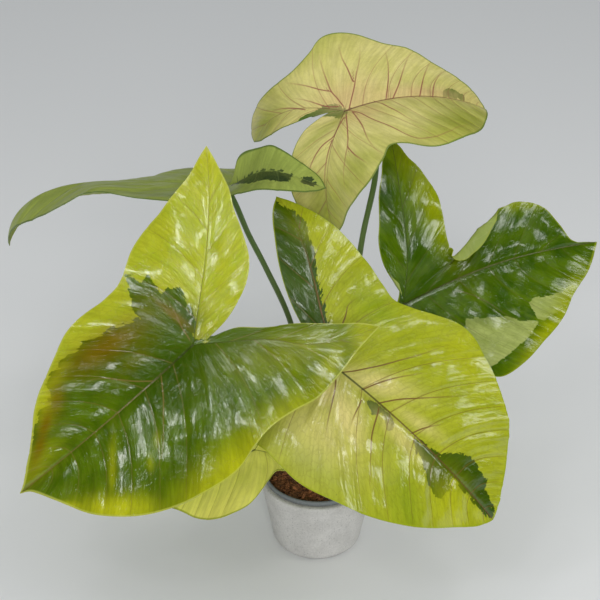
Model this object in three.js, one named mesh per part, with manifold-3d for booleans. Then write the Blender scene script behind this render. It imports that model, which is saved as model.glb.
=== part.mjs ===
// An arrowhead plant in a plastic nursery pot, set in a small ceramic cachepot.
// Millimetres, +Z up, origin at the middle of the cachepot's underside. The viewer stands at -Y.
import * as THREE from 'three';
import { mergeVertices } from 'three/addons/utils/BufferGeometryUtils.js';
import Module from 'manifold-3d';

const wasm = await Module();
wasm.setup();

// ---------- driving dimensions ----------

const CLEARANCE = 0.35;

const CACHEPOT = {
  baseRadius: 34,
  baseFillet: 6,
  rimRadius: 43,
  height: 57.5,
  wall: 4.5,
  floor: 5,
  rimRound: 1.6,
  facets: 40,
};

const NURSERY_POT = {
  lipRadius: 40,
  lipHeight: 3.8,
  lipThickness: 1.2,
  topRadius: 37.8,
  baseRadius: 28,
  base: 8,
  wall: 1,
  facets: 40,
  drainHoles: 4,
  drainRadius: 3,
  drainCircle: 18,
};

const SOIL = { level: 54, relief: 1.2, holeDepth: 14, holeFacets: 12, rings: 6, sectors: 40 };

const STEM = { baseRadius: 5.5, topRadius: 4, top: 76, bottom: 42 };

const BLADE = {
  thickness: 0.8,
  midribSteps: 12,
  lobeSteps: 8,
  rows: [0, 0.28, 0.54, 0.76, 0.9, 1],
  innerRows: [0, 0.5, 1],
  rollRow: 0.76,
};

const STALK = { baseRadius: 3.2, topRadius: 2.1, sheath: 34, sides: 8, steps: 18 };

const RIB = { startRadius: 1.7, endRadius: 0.7, reach: 0.66, steps: 9, knuckle: 2.3 };

const COLOURS = {
  ceramic: 0xa5a29c,
  darkPlastic: 0x24262a,
  soil: 0x3a2417,
  stalk: 0x3f6a2c,
};

// Each blade lies flat first: x runs from the stalk to the tip, y to the leaf's left, whole
// millimetres. outer goes from the tip round to the lobe's end, inner from there to the sinus,
// and rib is the lobe's vein. Then the blade is bent: droop, hook and hang turn the midrib down
// by degrees at the tip, near the tip and at the lobes, keel and cup raise and round each half,
// arch lifts a lobe's middle by millimetres, and sweep carries the tip sideways.
const LEAVES = [
  {
    name: 'leaf_front_left',
    colour: 0x5d8f22,
    stalkTop: [-84, -54, 205],
    heading: 207, pitch: -35, roll: -32,
    length: 154, reach: 99,
    droop: 10, hook: 0, hang: 5, sweep: -12,
    wave: 2.2, waves: 5,
    left: {
      outer: [[154, 0], [146, 5], [136, 21], [125, 41], [111, 56], [96, 67], [76, 76], [56, 82], [34, 84],
        [15, 81], [-3, 79], [-21, 81], [-37, 85], [-56, 84], [-77, 80], [-98, 78]],
      inner: [[-98, 78], [-90, 68], [-77, 56], [-61, 40], [-43, 26], [-30, 13], [-17, 7], [-8, 4]],
      rib: [[0, 0], [-37, 32], [-54, 53], [-74, 68], [-98, 78]],
      keel: 7, cup: -10,
    },
    right: {
      outer: [[154, 0], [145, -5], [129, -19], [113, -35], [96, -47], [80, -57], [63, -65], [43, -68],
        [22, -67], [5, -69], [-14, -80], [-29, -84], [-44, -84], [-58, -86], [-71, -88], [-84, -92], [-97, -96]],
      inner: [[-97, -96], [-95, -86], [-92, -75], [-88, -62], [-81, -49], [-76, -36], [-67, -18], [-55, -7],
        [-42, -1], [-29, 3], [-17, 4], [-8, 4]],
      rib: [[0, 0], [-35, -29], [-55, -47], [-77, -70], [-97, -96]],
      keel: 7, cup: -10, lobeKeel: 9,
    },
    stalk: [[-7, -9, 62], [-10, -13, 100], [-24, -20, 152], [-52, -30, 190], [-72, -43, 203]],
  },
  {
    name: 'leaf_front_right',
    colour: 0xa8c32e,
    stalkTop: [15, -59, 187],
    heading: -27.5, pitch: -28.5, roll: 31,
    length: 149, reach: 105,
    droop: 32, hook: 0, hang: 6, sweep: -2,
    wave: 1.6, waves: 5,
    left: {
      outer: [[149, 0], [141, 15], [128, 35], [114, 50], [100, 60], [75, 73], [46, 79], [24, 73], [8, 66],
        [-4, 62], [-17, 66], [-38, 74], [-62, 79], [-82, 79], [-99, 76], [-113, 72]],
      inner: [[-113, 72], [-107, 60], [-94, 46], [-78, 31], [-60, 18], [-43, 9], [-25, 3], [-8, 0]],
      rib: [[0, 0], [-36, 23], [-68, 50], [-92, 66], [-113, 72]],
      keel: 6, cup: -7,
    },
    right: {
      outer: [[149, 0], [141, -12], [126, -26], [110, -40], [93, -52], [70, -64], [43, -73], [24, -77],
        [6, -77], [-10, -75], [-30, -77], [-52, -80], [-70, -77], [-86, -66]],
      inner: [[-86, -66], [-80, -50], [-68, -34], [-54, -20], [-38, -10], [-22, -4], [-8, 0]],
      rib: [[0, 0], [-30, -21], [-56, -42], [-73, -55], [-86, -66]],
      keel: 6, cup: -7, lobeKeel: -40,
    },
    stalk: [[4, -11, 62], [6, -18, 98], [10, -36, 140], [14, -50, 168]],
  },
  {
    name: 'leaf_right',
    colour: 0x2f6b22,
    stalkTop: [59, -2, 206],
    heading: 20, pitch: 7, roll: 48,
    length: 159, reach: 60,
    droop: 6, hook: 0, hang: 0, sweep: 4, bow: 8,
    wave: 1.2, waves: 4,
    left: {
      outer: [[159, 0], [150, 1], [143, 2], [137, 6], [134, 14], [129, 27], [122, 34], [112, 38], [102, 39],
        [92, 35], [80, 30], [68, 24], [57, 19], [50, 15], [45, 18], [46, 28], [49, 44], [50, 58], [46, 73],
        [43, 84], [39, 93], [36, 102], [31, 111]],
      inner: [[31, 111], [22, 104], [15, 90], [8, 78], [2, 62], [-4, 46], [-5, 32], [-3, 22], [1, 14], [-1, 7], [-5, 1]],
      rib: [[0, 0], [13, 27], [19, 50], [25, 80], [31, 111]],
      keel: 6, cup: -6,
      roll: { from: 0.33, to: 0.61, radius: 1.7, flap: 8.5, degrees: 172, skew: 1.6 },
    },
    right: {
      outer: [[159, 0], [150, -12], [139, -24], [123, -37], [106, -53], [86, -65], [68, -73], [50, -76],
        [37, -67], [33, -58], [35, -66], [37, -78], [33, -93], [24, -106]],
      inner: [[24, -106], [15, -97], [8, -82], [2, -62], [-2, -42], [-4, -24], [-5, -12], [-5, 1]],
      rib: [[0, 0], [10, -24], [18, -48], [23, -78], [24, -106]],
      keel: 6, cup: -6,
    },
    stalk: [[11, -2, 62], [16, -3, 100], [30, 0, 150], [47, 3, 185]],
  },
  {
    name: 'leaf_top',
    colour: 0xc3c87a,
    stalkTop: [19, 89, 313],
    heading: 20, pitch: 13.5, roll: 2.5,
    length: 122, reach: 75,
    droop: 44, hook: 0, hang: 35, sweep: 6,
    wave: 1.6, waves: 4,
    left: {
      outer: [[122, 0], [116, 10], [106, 20], [93, 31], [83, 37], [68, 46], [50, 55], [35, 66], [22, 69],
        [10, 68], [-1, 61], [-14, 56], [-25, 57], [-36, 62], [-47, 70], [-57, 75], [-65, 70], [-68, 57]],
      inner: [[-68, 57], [-62, 44], [-50, 29], [-38, 18], [-27, 11], [-16, 7], [-7, 4]],
      rib: [[0, 0], [-16, 14], [-34, 32], [-52, 49], [-68, 57]],
      keel: 21, cup: 9, lobeKeel: -38,
    },
    right: {
      outer: [[122, 0], [115, -14], [106, -28], [95, -42], [80, -54], [58, -61], [38, -62], [22, -57],
        [11, -54], [1, -62], [-15, -71], [-30, -71], [-44, -69], [-60, -71], [-74, -72]],
      inner: [[-74, -72], [-80, -60], [-79, -46], [-72, -30], [-61, -17], [-49, -8], [-38, -2], [-26, 2], [-14, 4], [-7, 4]],
      rib: [[0, 0], [-14, -17], [-34, -36], [-56, -54], [-74, -72]],
      keel: 0, cup: -22, lobeKeel: -35,
    },
    stalk: [[6, 10, 62], [12, 18, 110], [24, 30, 180], [32, 46, 235], [41, 66, 275], [40, 80, 298]],
  },
  {
    name: 'leaf_left',
    colour: 0x7d9a55,
    stalkTop: [-66, 85, 256],
    heading: 176, pitch: 2.5, roll: 16,
    length: 192, reach: 92,
    droop: 3, hook: 100, hookPower: 4.2, hang: -26, sweep: 0,
    wave: 1, waves: 4,
    left: {
      outer: [[192, 0], [178, 12], [157, 31], [131, 47], [104, 60], [74, 68], [44, 70], [14, 68], [-8, 62],
        [-24, 64], [-42, 69], [-58, 71], [-69, 67], [-75, 58]],
      inner: [[-75, 58], [-71, 46], [-59, 34], [-45, 21], [-32, 10], [-19, 4], [-8, 1]],
      rib: [[0, 0], [-21, 18], [-41, 36], [-58, 49], [-75, 58]],
      keel: 1, cup: -2, tipKeel: -22, lobeKeel: -7, arch: 10, hood: 23,
      pinch: { at: 88, spread: 28, degrees: 12 },
    },
    right: {
      outer: [[192, 0], [178, -12], [157, -31], [131, -49], [104, -61], [74, -69], [44, -70], [14, -68],
        [-8, -64], [-26, -66], [-46, -71], [-64, -74], [-80, -70]],
      inner: [[-80, -70], [-77, -54], [-68, -38], [-54, -23], [-38, -11], [-20, -4], [-8, 1]],
      rib: [[0, 0], [-22, -19], [-46, -39], [-65, -56], [-80, -70]],
      keel: 7, cup: -8, tipKeel: -26, arch: 6,
      pinch: { at: 97, spread: 32, degrees: -7 },
    },
    stalk: [[-6, 10, 62], [-10, 23, 115], [-20, 45, 163], [-38, 61, 200], [-51, 70, 224], [-61, 80, 245]],
  },
  {
    name: 'leaf_low',
    colour: 0xa9bd3a,
    stalkTop: [-45, -40, 109],
    heading: 195, pitch: -14, roll: -25,
    length: 84, reach: 56,
    droop: 20, hook: 0, hang: 8, sweep: 0,
    wave: 1.2, waves: 3,
    left: {
      outer: [[84, 0], [78, 6], [71, 14], [63, 22], [56, 30], [46, 37], [36, 40], [26, 40], [17, 38],
        [8, 33], [0, 27], [-8, 22], [-18, 25], [-32, 32], [-48, 35]],
      inner: [[-48, 35], [-44, 25], [-34, 15], [-21, 7], [-7, 0]],
      rib: [[0, 0], [-14, 10], [-27, 20], [-38, 29], [-48, 35]],
      keel: 4, cup: -10,
    },
    right: {
      outer: [[84, 0], [78, -6], [71, -14], [60, -25], [46, -33], [30, -36], [14, -34], [0, -28],
        [-12, -27], [-24, -28], [-33, -24]],
      inner: [[-33, -24], [-29, -17], [-20, -9], [-7, 0]],
      rib: [[0, 0], [-9, -7], [-18, -14], [-26, -19], [-33, -24]],
      keel: 6, cup: -10,
    },
    stalk: [[-11, 0, 62], [-15, -3, 84], [-26, -17, 103], [-38, -30, 108]],
  },
];

// ---------- solids and meshes ----------

function toSolid(geometry) {
  const bare = geometry.clone();
  bare.deleteAttribute('normal');
  bare.deleteAttribute('uv');
  const merged = mergeVertices(bare, 1e-4);
  return new wasm.Manifold(new wasm.Mesh({
    numProp: 3,
    vertProperties: new Float32Array(merged.attributes.position.array),
    triVerts: new Uint32Array(merged.index.array),
  }));
}

function toGeometry(solid) {
  const mesh = solid.getMesh();
  const geometry = new THREE.BufferGeometry();
  geometry.setAttribute('position', new THREE.BufferAttribute(mesh.vertProperties, 3));
  geometry.setIndex(new THREE.BufferAttribute(mesh.triVerts, 1));
  geometry.computeVertexNormals();
  return geometry;
}

function namedMesh(name, geometry, { color, roughness, metalness = 0 }) {
  const mesh = new THREE.Mesh(geometry, new THREE.MeshStandardMaterial({ color, roughness, metalness }));
  mesh.name = name;
  return mesh;
}

// A profile of [radius, height] pairs turned about Z.
function turned(profile, facets) {
  const points = profile.map(([radius, height]) => new THREE.Vector2(radius, height));
  return new THREE.LatheGeometry(points, facets).rotateX(Math.PI / 2);
}

// A round rod along a curve, with its own radius at each step and closed ends.
function taperedRod(points, radiusAt, sides, steps) {
  const curve = new THREE.CatmullRomCurve3(points);
  const frames = curve.computeFrenetFrames(steps, false);
  const positions = [];
  const index = [];
  for (let i = 0; i <= steps; i += 1) {
    const centre = curve.getPointAt(i / steps);
    const radius = radiusAt(i / steps);
    for (let k = 0; k < sides; k += 1) {
      const angle = (2 * Math.PI * k) / sides;
      const spot = centre.clone()
        .addScaledVector(frames.normals[i], radius * Math.cos(angle))
        .addScaledVector(frames.binormals[i], radius * Math.sin(angle));
      positions.push(spot.x, spot.y, spot.z);
    }
  }
  for (let i = 0; i < steps; i += 1) {
    for (let k = 0; k < sides; k += 1) {
      const a = i * sides + k;
      const b = i * sides + ((k + 1) % sides);
      index.push(a, b, b + sides, a, b + sides, a + sides);
    }
  }
  const last = steps * sides;
  for (let k = 1; k < sides - 1; k += 1) {
    index.push(0, k + 1, k, last, last + k, last + k + 1);
  }
  const geometry = new THREE.BufferGeometry();
  geometry.setAttribute('position', new THREE.Float32BufferAttribute(positions, 3));
  geometry.setIndex(index);
  return geometry;
}

// ---------- the pots and the soil ----------

function makeCachepot() {
  const { baseRadius, baseFillet, rimRadius, height, wall, floor, rimRound, facets } = CACHEPOT;
  const outside = [];
  for (let i = 0; i <= 5; i += 1) {
    const angle = (Math.PI / 2) * (i / 5);
    outside.push([
      baseRadius - baseFillet + baseFillet * Math.sin(angle),
      baseFillet - baseFillet * Math.cos(angle),
    ]);
  }
  const innerRim = rimRadius - wall;
  const profile = [
    [0, 0],
    ...outside,
    [rimRadius, height - rimRound],
    [rimRadius - rimRound * 0.3, height - rimRound * 0.3],
    [rimRadius - rimRound, height],
    [innerRim + rimRound * 0.5, height],
    [innerRim, height - rimRound * 0.5],
    [baseRadius - wall + 1, floor + baseFillet],
    [baseRadius - wall - 3, floor],
    [0, floor],
  ];
  return turned(profile, facets);
}

function makeNurseryPot() {
  const pot = NURSERY_POT;
  const seat = CACHEPOT.height + CLEARANCE;
  const top = seat + pot.lipHeight;
  const profile = [
    [0, pot.base],
    [pot.baseRadius - 1, pot.base],
    [pot.baseRadius, pot.base + 1],
    [pot.topRadius, seat - 1],
    [pot.topRadius, seat],
    [pot.lipRadius - 0.4, seat],
    [pot.lipRadius, seat + 0.5],
    [pot.lipRadius, top - 0.8],
    [pot.lipRadius - 0.8, top],
    [pot.lipRadius - pot.lipThickness - 0.5, top],
    [pot.lipRadius - pot.lipThickness - 1, top - 0.6],
    [pot.topRadius - pot.wall, seat - 1],
    [pot.baseRadius - pot.wall, pot.base + 2],
    [pot.baseRadius - pot.wall - 1, pot.base + pot.wall],
    [0, pot.base + pot.wall],
  ];
  let solid = toSolid(turned(profile, pot.facets));
  for (let i = 0; i < pot.drainHoles; i += 1) {
    const angle = (2 * Math.PI * (i + 0.5)) / pot.drainHoles;
    const drill = new THREE.CylinderGeometry(pot.drainRadius, pot.drainRadius, 6, 16).rotateX(Math.PI / 2);
    drill.translate(pot.drainCircle * Math.cos(angle), pot.drainCircle * Math.sin(angle), pot.base);
    solid = solid.subtract(toSolid(drill));
  }
  return toGeometry(solid);
}

function soilRelief(radius, angle) {
  return SOIL.relief * (0.6 * Math.sin(3 * angle + radius * 0.21) + 0.4 * Math.sin(5 * angle - radius * 0.4))
    * Math.min(1, radius / 12);
}

// The soil fills the nursery pot, with a plain hole for the stem and one for each leaf stalk.
function makeSoil(holes) {
  const pot = NURSERY_POT;
  const bottom = pot.base + pot.wall + CLEARANCE;
  const seat = CACHEPOT.height + CLEARANCE;
  const wallRadius = (height) => {
    const share = (height - (pot.base + 2)) / (seat - 1 - (pot.base + 2));
    return THREE.MathUtils.lerp(pot.baseRadius, pot.topRadius, share) - pot.wall - CLEARANCE;
  };
  const { rings, sectors, level } = SOIL;
  const edge = wallRadius(level - 1);
  const positions = [0, 0, level];
  const index = [];
  const vertex = (ring, sector) => 1 + (ring - 1) * sectors + (sector % sectors);
  for (let ring = 1; ring <= rings; ring += 1) {
    const radius = (edge * ring) / rings;
    for (let sector = 0; sector < sectors; sector += 1) {
      const angle = (2 * Math.PI * sector) / sectors;
      const height = level + (ring < rings ? soilRelief(radius, angle) : -1);
      positions.push(radius * Math.cos(angle), radius * Math.sin(angle), height);
    }
  }
  for (let sector = 0; sector < sectors; sector += 1) {
    index.push(0, vertex(1, sector), vertex(1, sector + 1));
    for (let ring = 1; ring < rings; ring += 1) {
      const a = vertex(ring, sector);
      const b = vertex(ring, sector + 1);
      const c = vertex(ring + 1, sector);
      const d = vertex(ring + 1, sector + 1);
      index.push(a, c, d, a, d, b);
    }
  }
  const foot = positions.length / 3;
  const footRadius = wallRadius(bottom + 2) - 1;
  for (let sector = 0; sector < sectors; sector += 1) {
    const angle = (2 * Math.PI * sector) / sectors;
    positions.push(footRadius * Math.cos(angle), footRadius * Math.sin(angle), bottom);
  }
  positions.push(0, 0, bottom);
  const middle = positions.length / 3 - 1;
  for (let sector = 0; sector < sectors; sector += 1) {
    const next = (sector + 1) % sectors;
    const a = vertex(rings, sector);
    const b = vertex(rings, next);
    index.push(a, foot + sector, foot + next, a, foot + next, b);
    index.push(foot + sector, middle, foot + next);
  }
  const geometry = new THREE.BufferGeometry();
  geometry.setAttribute('position', new THREE.Float32BufferAttribute(positions, 3));
  geometry.setIndex(index);
  let solid = toSolid(geometry);
  for (const hole of holes) {
    const length = SOIL.holeDepth + 12;
    const drill = new THREE.CylinderGeometry(hole.radius, hole.radius, length, SOIL.holeFacets).rotateX(Math.PI / 2);
    drill.translate(hole.x, hole.y, level - SOIL.holeDepth + length / 2);
    solid = solid.subtract(toSolid(drill));
  }
  return toGeometry(solid);
}

// ---------- the leaves ----------

const rad = THREE.MathUtils.degToRad;
const smooth = (t) => THREE.MathUtils.smoothstep(t, 0, 1);

// A blade's bent surface: at(x, y, lift) takes a spot of the flat outline to its place in space.
class BladeSurface {
  constructor(spec) {
    this.spec = spec;
    const heading = rad(spec.heading);
    const pitch = rad(spec.pitch);
    const roll = rad(spec.roll);
    this.along = new THREE.Vector3(
      Math.cos(pitch) * Math.cos(heading),
      Math.cos(pitch) * Math.sin(heading),
      Math.sin(pitch),
    );
    const level = new THREE.Vector3(-Math.sin(heading), Math.cos(heading), 0);
    const raised = this.along.clone().cross(level);
    this.across = level.clone().multiplyScalar(Math.cos(roll)).addScaledVector(raised, Math.sin(roll));
    this.out = this.along.clone().cross(this.across);
    this.origin = new THREE.Vector3(...spec.stalkTop);
    this.forward = this.walkMidrib(1.25 * spec.length);
    this.backward = this.walkMidrib(-1.3 * spec.reach);
  }

  // The midrib's slope in radians, x millimetres from the stalk.
  slope(x) {
    const { length, reach, droop, hook, hookPower = 4, hang } = this.spec;
    const ahead = Math.max(x / length, 0);
    const behind = Math.max(-x / reach, 0);
    return rad(-droop * ahead - hook * ahead ** hookPower + hang * behind);
  }

  // The midrib's own line, in steps of about a millimetre, as [along, out] pairs.
  walkMidrib(end) {
    const steps = Math.ceil(Math.abs(end));
    const step = end / steps;
    const line = [[0, 0]];
    for (let i = 0; i < steps; i += 1) {
      const slope = this.slope((i + 0.5) * step);
      const [u, w] = line[i];
      line.push([u + Math.cos(slope) * step, w + Math.sin(slope) * step]);
    }
    return { line, step };
  }

  midrib(x) {
    const { line, step } = x >= 0 ? this.forward : this.backward;
    const place = Math.min(x / step, line.length - 1.001);
    const i = Math.floor(place);
    const share = place - i;
    return [0, 1].map((axis) => THREE.MathUtils.lerp(line[i][axis], line[i + 1][axis], share));
  }

  at(x, y, lift = 0) {
    const { spec } = this;
    const side = y >= 0 ? spec.left : spec.right;
    const ahead = THREE.MathUtils.clamp(x / spec.length, 0, 1);
    const behind = Math.max(-x / spec.reach, 0);
    const { pinch } = side;
    const squeeze = pinch ? pinch.degrees * Math.exp(-(((x - pinch.at) / pinch.spread) ** 2)) : 0;
    const aside = spec.sweep * ahead ** 2 + (spec.bow ?? 0) * Math.sin(Math.PI * ahead);
    const keel = rad(side.keel + smooth(ahead) * (side.tipKeel ?? 0) + smooth(behind) * (side.lobeKeel ?? 0) + squeeze);
    const turn = rad(side.cup) / 75;
    const width = Math.abs(y);
    const reachOut = (Math.sin(keel + turn * width) - Math.sin(keel)) / turn;
    const rise = -(Math.cos(keel + turn * width) - Math.cos(keel)) / turn;
    const arch = (side.arch ?? 0) * Math.sin(Math.PI * Math.min(behind, 1.15)) * smooth(width / 20);
    const height = rise + arch + lift;
    const slope = this.slope(x);
    const [u, w] = this.midrib(x);
    return this.origin.clone()
      .addScaledVector(this.along, u - height * Math.sin(slope))
      .addScaledVector(this.across, Math.sign(y) * reachOut + aside)
      .addScaledVector(this.out, w + height * Math.cos(slope));
  }
}

// A smooth line through flat points that can be asked for the spot at a share of its length.
class FlatLine {
  constructor(points) {
    this.spots = new THREE.SplineCurve(points.map(([x, y]) => new THREE.Vector2(x, y))).getSpacedPoints(160);
  }

  at(share) {
    const place = THREE.MathUtils.clamp(share, 0, 1) * (this.spots.length - 1);
    const i = Math.min(Math.floor(place), this.spots.length - 2);
    return this.spots[i].clone().lerp(this.spots[i + 1], place - i);
  }

  // The share of the length at which the line first falls back to x.
  shareAtX(x) {
    const i = this.spots.findIndex((spot) => spot.x <= x);
    return (i < 0 ? this.spots.length - 1 : i) / (this.spots.length - 1);
  }
}

// Where the side vein that leaves the midrib at x reaches the margin, as a share of the outer line.
function marginShare(outer, x, length) {
  const sweep = 0.38 * length * (1 - x / length) ** 0.8;
  return x >= length ? 0 : outer.shareAtX(x + sweep);
}

// A spot between the spine and the margin. Along a rolled stretch the outermost rows turn up and
// over the blade as round a rod that lies along the margin.
function rolledSpot(roll, outer, share, spine, row) {
  const margin = outer.at(share);
  const inside = roll && share > roll.from && share < roll.to;
  const place = inside ? (share - roll.from) / (roll.to - roll.from) : 0;
  const window = inside ? Math.max(0, Math.sin(Math.PI * place ** roll.skew)) : 0;
  const flat = THREE.MathUtils.lerp(row, Math.min(row / BLADE.rollRow, 1), window);
  const spot = spine.clone().lerp(margin, flat);
  if (!inside) return { spot, lift: 0 };
  const past = Math.max(0, (row - BLADE.rollRow) / (1 - BLADE.rollRow));
  const turn = rad(roll.degrees) * Math.min(1, 2.5 * window);
  const angle = turn * Math.min(1, past / 0.58);
  const flap = roll.flap * window * Math.max(0, (past - 0.58) / 0.42);
  const edge = outer.at(share + 0.01).sub(outer.at(share - 0.01)).normalize();
  const outward = new THREE.Vector2(edge.y, -edge.x).multiplyScalar(Math.sign(margin.y));
  return {
    spot: spot.addScaledVector(outward, roll.radius * Math.sin(angle) + flap * Math.cos(turn)),
    lift: roll.radius * (1 - Math.cos(angle)) + flap * Math.sin(turn),
  };
}

// The blade's middle surface as points in space and triangles between them.
function bladeSheet(spec, surface) {
  const { midribSteps, lobeSteps, rows, innerRows } = BLADE;
  const points = [];
  const triangles = [];
  const seen = new Map();
  const add = (x, y, lift) => {
    const key = `${x.toFixed(3)},${y.toFixed(3)},${lift.toFixed(3)}`;
    if (!seen.has(key)) {
      seen.set(key, points.length);
      points.push(surface.at(x, y, lift));
    }
    return seen.get(key);
  };
  const join = (grid, flip) => {
    for (let i = 0; i + 1 < grid.length; i += 1) {
      for (let j = 0; j + 1 < grid[i].length; j += 1) {
        const [a, b, c, d] = [grid[i][j], grid[i + 1][j], grid[i + 1][j + 1], grid[i][j + 1]];
        const corners = (i + j) % 2 ? [[a, b, c], [a, c, d]] : [[a, b, d], [b, c, d]];
        for (const [p, q, r] of corners) {
          if (p !== q && q !== r && p !== r) triangles.push(flip ? [p, r, q] : [p, q, r]);
        }
      }
    }
  };
  for (const side of ['left', 'right']) {
    const half = spec[side];
    const outer = new FlatLine(half.outer);
    const inner = new FlatLine(half.inner);
    const rib = new FlatLine(half.rib);
    const shoulder = marginShare(outer, 0, spec.length);
    const ridge = (t) => 0.3 * (half.hood ?? 0) * Math.sin(Math.PI * t);
    const main = [];
    for (let i = 0; i <= midribSteps; i += 1) {
      const x = spec.length * (1 - i / midribSteps);
      main.push({ spine: new THREE.Vector2(x, 0), share: marginShare(outer, x, spec.length), ridge: 0 });
    }
    for (let i = 1; i <= lobeSteps; i += 1) {
      const t = i / lobeSteps;
      main.push({ spine: rib.at(t), share: THREE.MathUtils.lerp(shoulder, 1, t), ridge: ridge(t) });
    }
    join(main.map(({ spine, share, ridge: raise }) => rows.map((row) => {
      const { spot, lift } = rolledSpot(half.roll, outer, share, spine, row);
      const ripple = spec.wave * row ** 3 * Math.sin(2 * Math.PI * spec.waves * share) * Math.sin(Math.PI * share);
      return add(spot.x, spot.y, lift + ripple + raise * (1 - row));
    })), side === 'left');
    const lobe = [];
    for (let i = 0; i <= lobeSteps; i += 1) {
      const t = i / lobeSteps;
      const spine = rib.at(t);
      const margin = inner.at(1 - t);
      const dome = Math.max(0, Math.sin(Math.PI * t ** 0.5)) ** 0.9 * (1 + 0.35 * (1 - t) ** 3);
      lobe.push(innerRows.map((row) => {
        const spot = spine.clone().lerp(margin, row);
        const lift = (half.hood ?? 0) * row * dome;
        return add(spot.x + 0.3 * lift * (1 - t) ** 2, spot.y, lift + ridge(t) * (1 - row));
      }));
    }
    join(lobe, side === 'right');
  }
  return { points, triangles };
}

// A sheet given its thickness, half to each side, with the same triangles on both faces.
function thickened({ points, triangles }, thickness) {
  const normals = points.map(() => new THREE.Vector3());
  for (const [a, b, c] of triangles) {
    const face = new THREE.Vector3().subVectors(points[b], points[a])
      .cross(new THREE.Vector3().subVectors(points[c], points[a]));
    for (const corner of [a, b, c]) normals[corner].add(face);
  }
  const count = points.length;
  const positions = [];
  for (const half of [thickness / 2, -thickness / 2]) {
    points.forEach((point, i) => {
      const spot = point.clone().addScaledVector(normals[i].clone().normalize(), half);
      positions.push(spot.x, spot.y, spot.z);
    });
  }
  const edges = new Set();
  for (const [a, b, c] of triangles) {
    for (const edge of [[a, b], [b, c], [c, a]]) edges.add(edge.join());
  }
  const index = [];
  for (const [a, b, c] of triangles) {
    index.push(a, b, c, a + count, c + count, b + count);
    for (const [p, q] of [[a, b], [b, c], [c, a]]) {
      if (!edges.has([q, p].join())) index.push(q, p, p + count, q, p + count, q + count);
    }
  }
  const geometry = new THREE.BufferGeometry();
  geometry.setAttribute('position', new THREE.Float32BufferAttribute(positions, 3));
  geometry.setIndex(index);
  return geometry;
}

// One leaf: its blade, the midrib's ridge beneath, the knuckle where they meet and the stalk.
function makeLeaf(spec) {
  const surface = new BladeSurface(spec);
  const blade = toSolid(thickened(bladeSheet(spec, surface), BLADE.thickness));
  const sink = BLADE.thickness / 2 - 0.15;
  const ribRadius = (share) => THREE.MathUtils.lerp(RIB.startRadius, RIB.endRadius, share);
  const ribPoints = [0, 0.25, 0.5, 0.75, 1].map((share) => (
    surface.at(share * RIB.reach * spec.length, 0, sink - ribRadius(share))
  ));
  const rib = toSolid(taperedRod(ribPoints, ribRadius, 6, RIB.steps));
  const knee = surface.at(0, 0, sink - RIB.knuckle);
  const knuckle = toSolid(new THREE.IcosahedronGeometry(RIB.knuckle, 1).translate(knee.x, knee.y, knee.z));
  const [firstX, firstY] = spec.stalk[0];
  const foot = new THREE.Vector3(firstX, firstY, SOIL.level - SOIL.holeDepth + CLEARANCE);
  const collar = foot.clone().setZ(SOIL.level - 2);
  const route = [foot, collar, ...spec.stalk.map((point) => new THREE.Vector3(...point)), knee];
  const stalkRadius = (share) => {
    const length = new THREE.CatmullRomCurve3(route).getLength();
    const sheath = Math.max(0, 1 - (share * length) / STALK.sheath);
    return THREE.MathUtils.lerp(STALK.topRadius, STALK.baseRadius, sheath);
  };
  const stalk = toSolid(taperedRod(route, stalkRadius, STALK.sides, STALK.steps));
  return toGeometry(blade.add(rib).add(knuckle).add(stalk));
}

function makeStem() {
  const { baseRadius, topRadius, top, bottom } = STEM;
  const profile = [[0, bottom], [baseRadius, bottom], [baseRadius, 62], [topRadius, top - 2], [topRadius - 2, top], [0, top]];
  return turned(profile, 12);
}

// ---------- the plant ----------

const plant = new THREE.Group();
const pot = { color: COLOURS.ceramic, roughness: 0.7 };
plant.add(namedMesh('cachepot', makeCachepot(), pot));
plant.add(namedMesh('nursery_pot', makeNurseryPot(), { color: COLOURS.darkPlastic, roughness: 0.3 }));
const hole = (x, y, rodRadius) => ({ x, y, radius: (rodRadius + CLEARANCE) / Math.cos(Math.PI / SOIL.holeFacets) });
const holes = [
  hole(0, 0, STEM.baseRadius),
  ...LEAVES.map(({ stalk: [[x, y]] }) => hole(x, y, STALK.baseRadius)),
];
plant.add(namedMesh('potting_soil', makeSoil(holes), { color: COLOURS.soil, roughness: 0.95 }));
plant.add(namedMesh('stem', makeStem(), { color: COLOURS.stalk, roughness: 0.5 }));
for (const spec of LEAVES) {
  plant.add(namedMesh(spec.name, makeLeaf(spec), { color: spec.colour, roughness: 0.35 }));
}

export default plant;
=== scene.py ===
"""An arrowhead plant with variegated leaves, in a plastic nursery pot set in a small ceramic cachepot.

Sizes in the dataclasses are millimetres, and become metres where a mesh is made.
"""

import logging
import math
from dataclasses import dataclass, field, fields as fields_of
from enum import Enum
from typing import Any, Optional, Sequence

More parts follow.
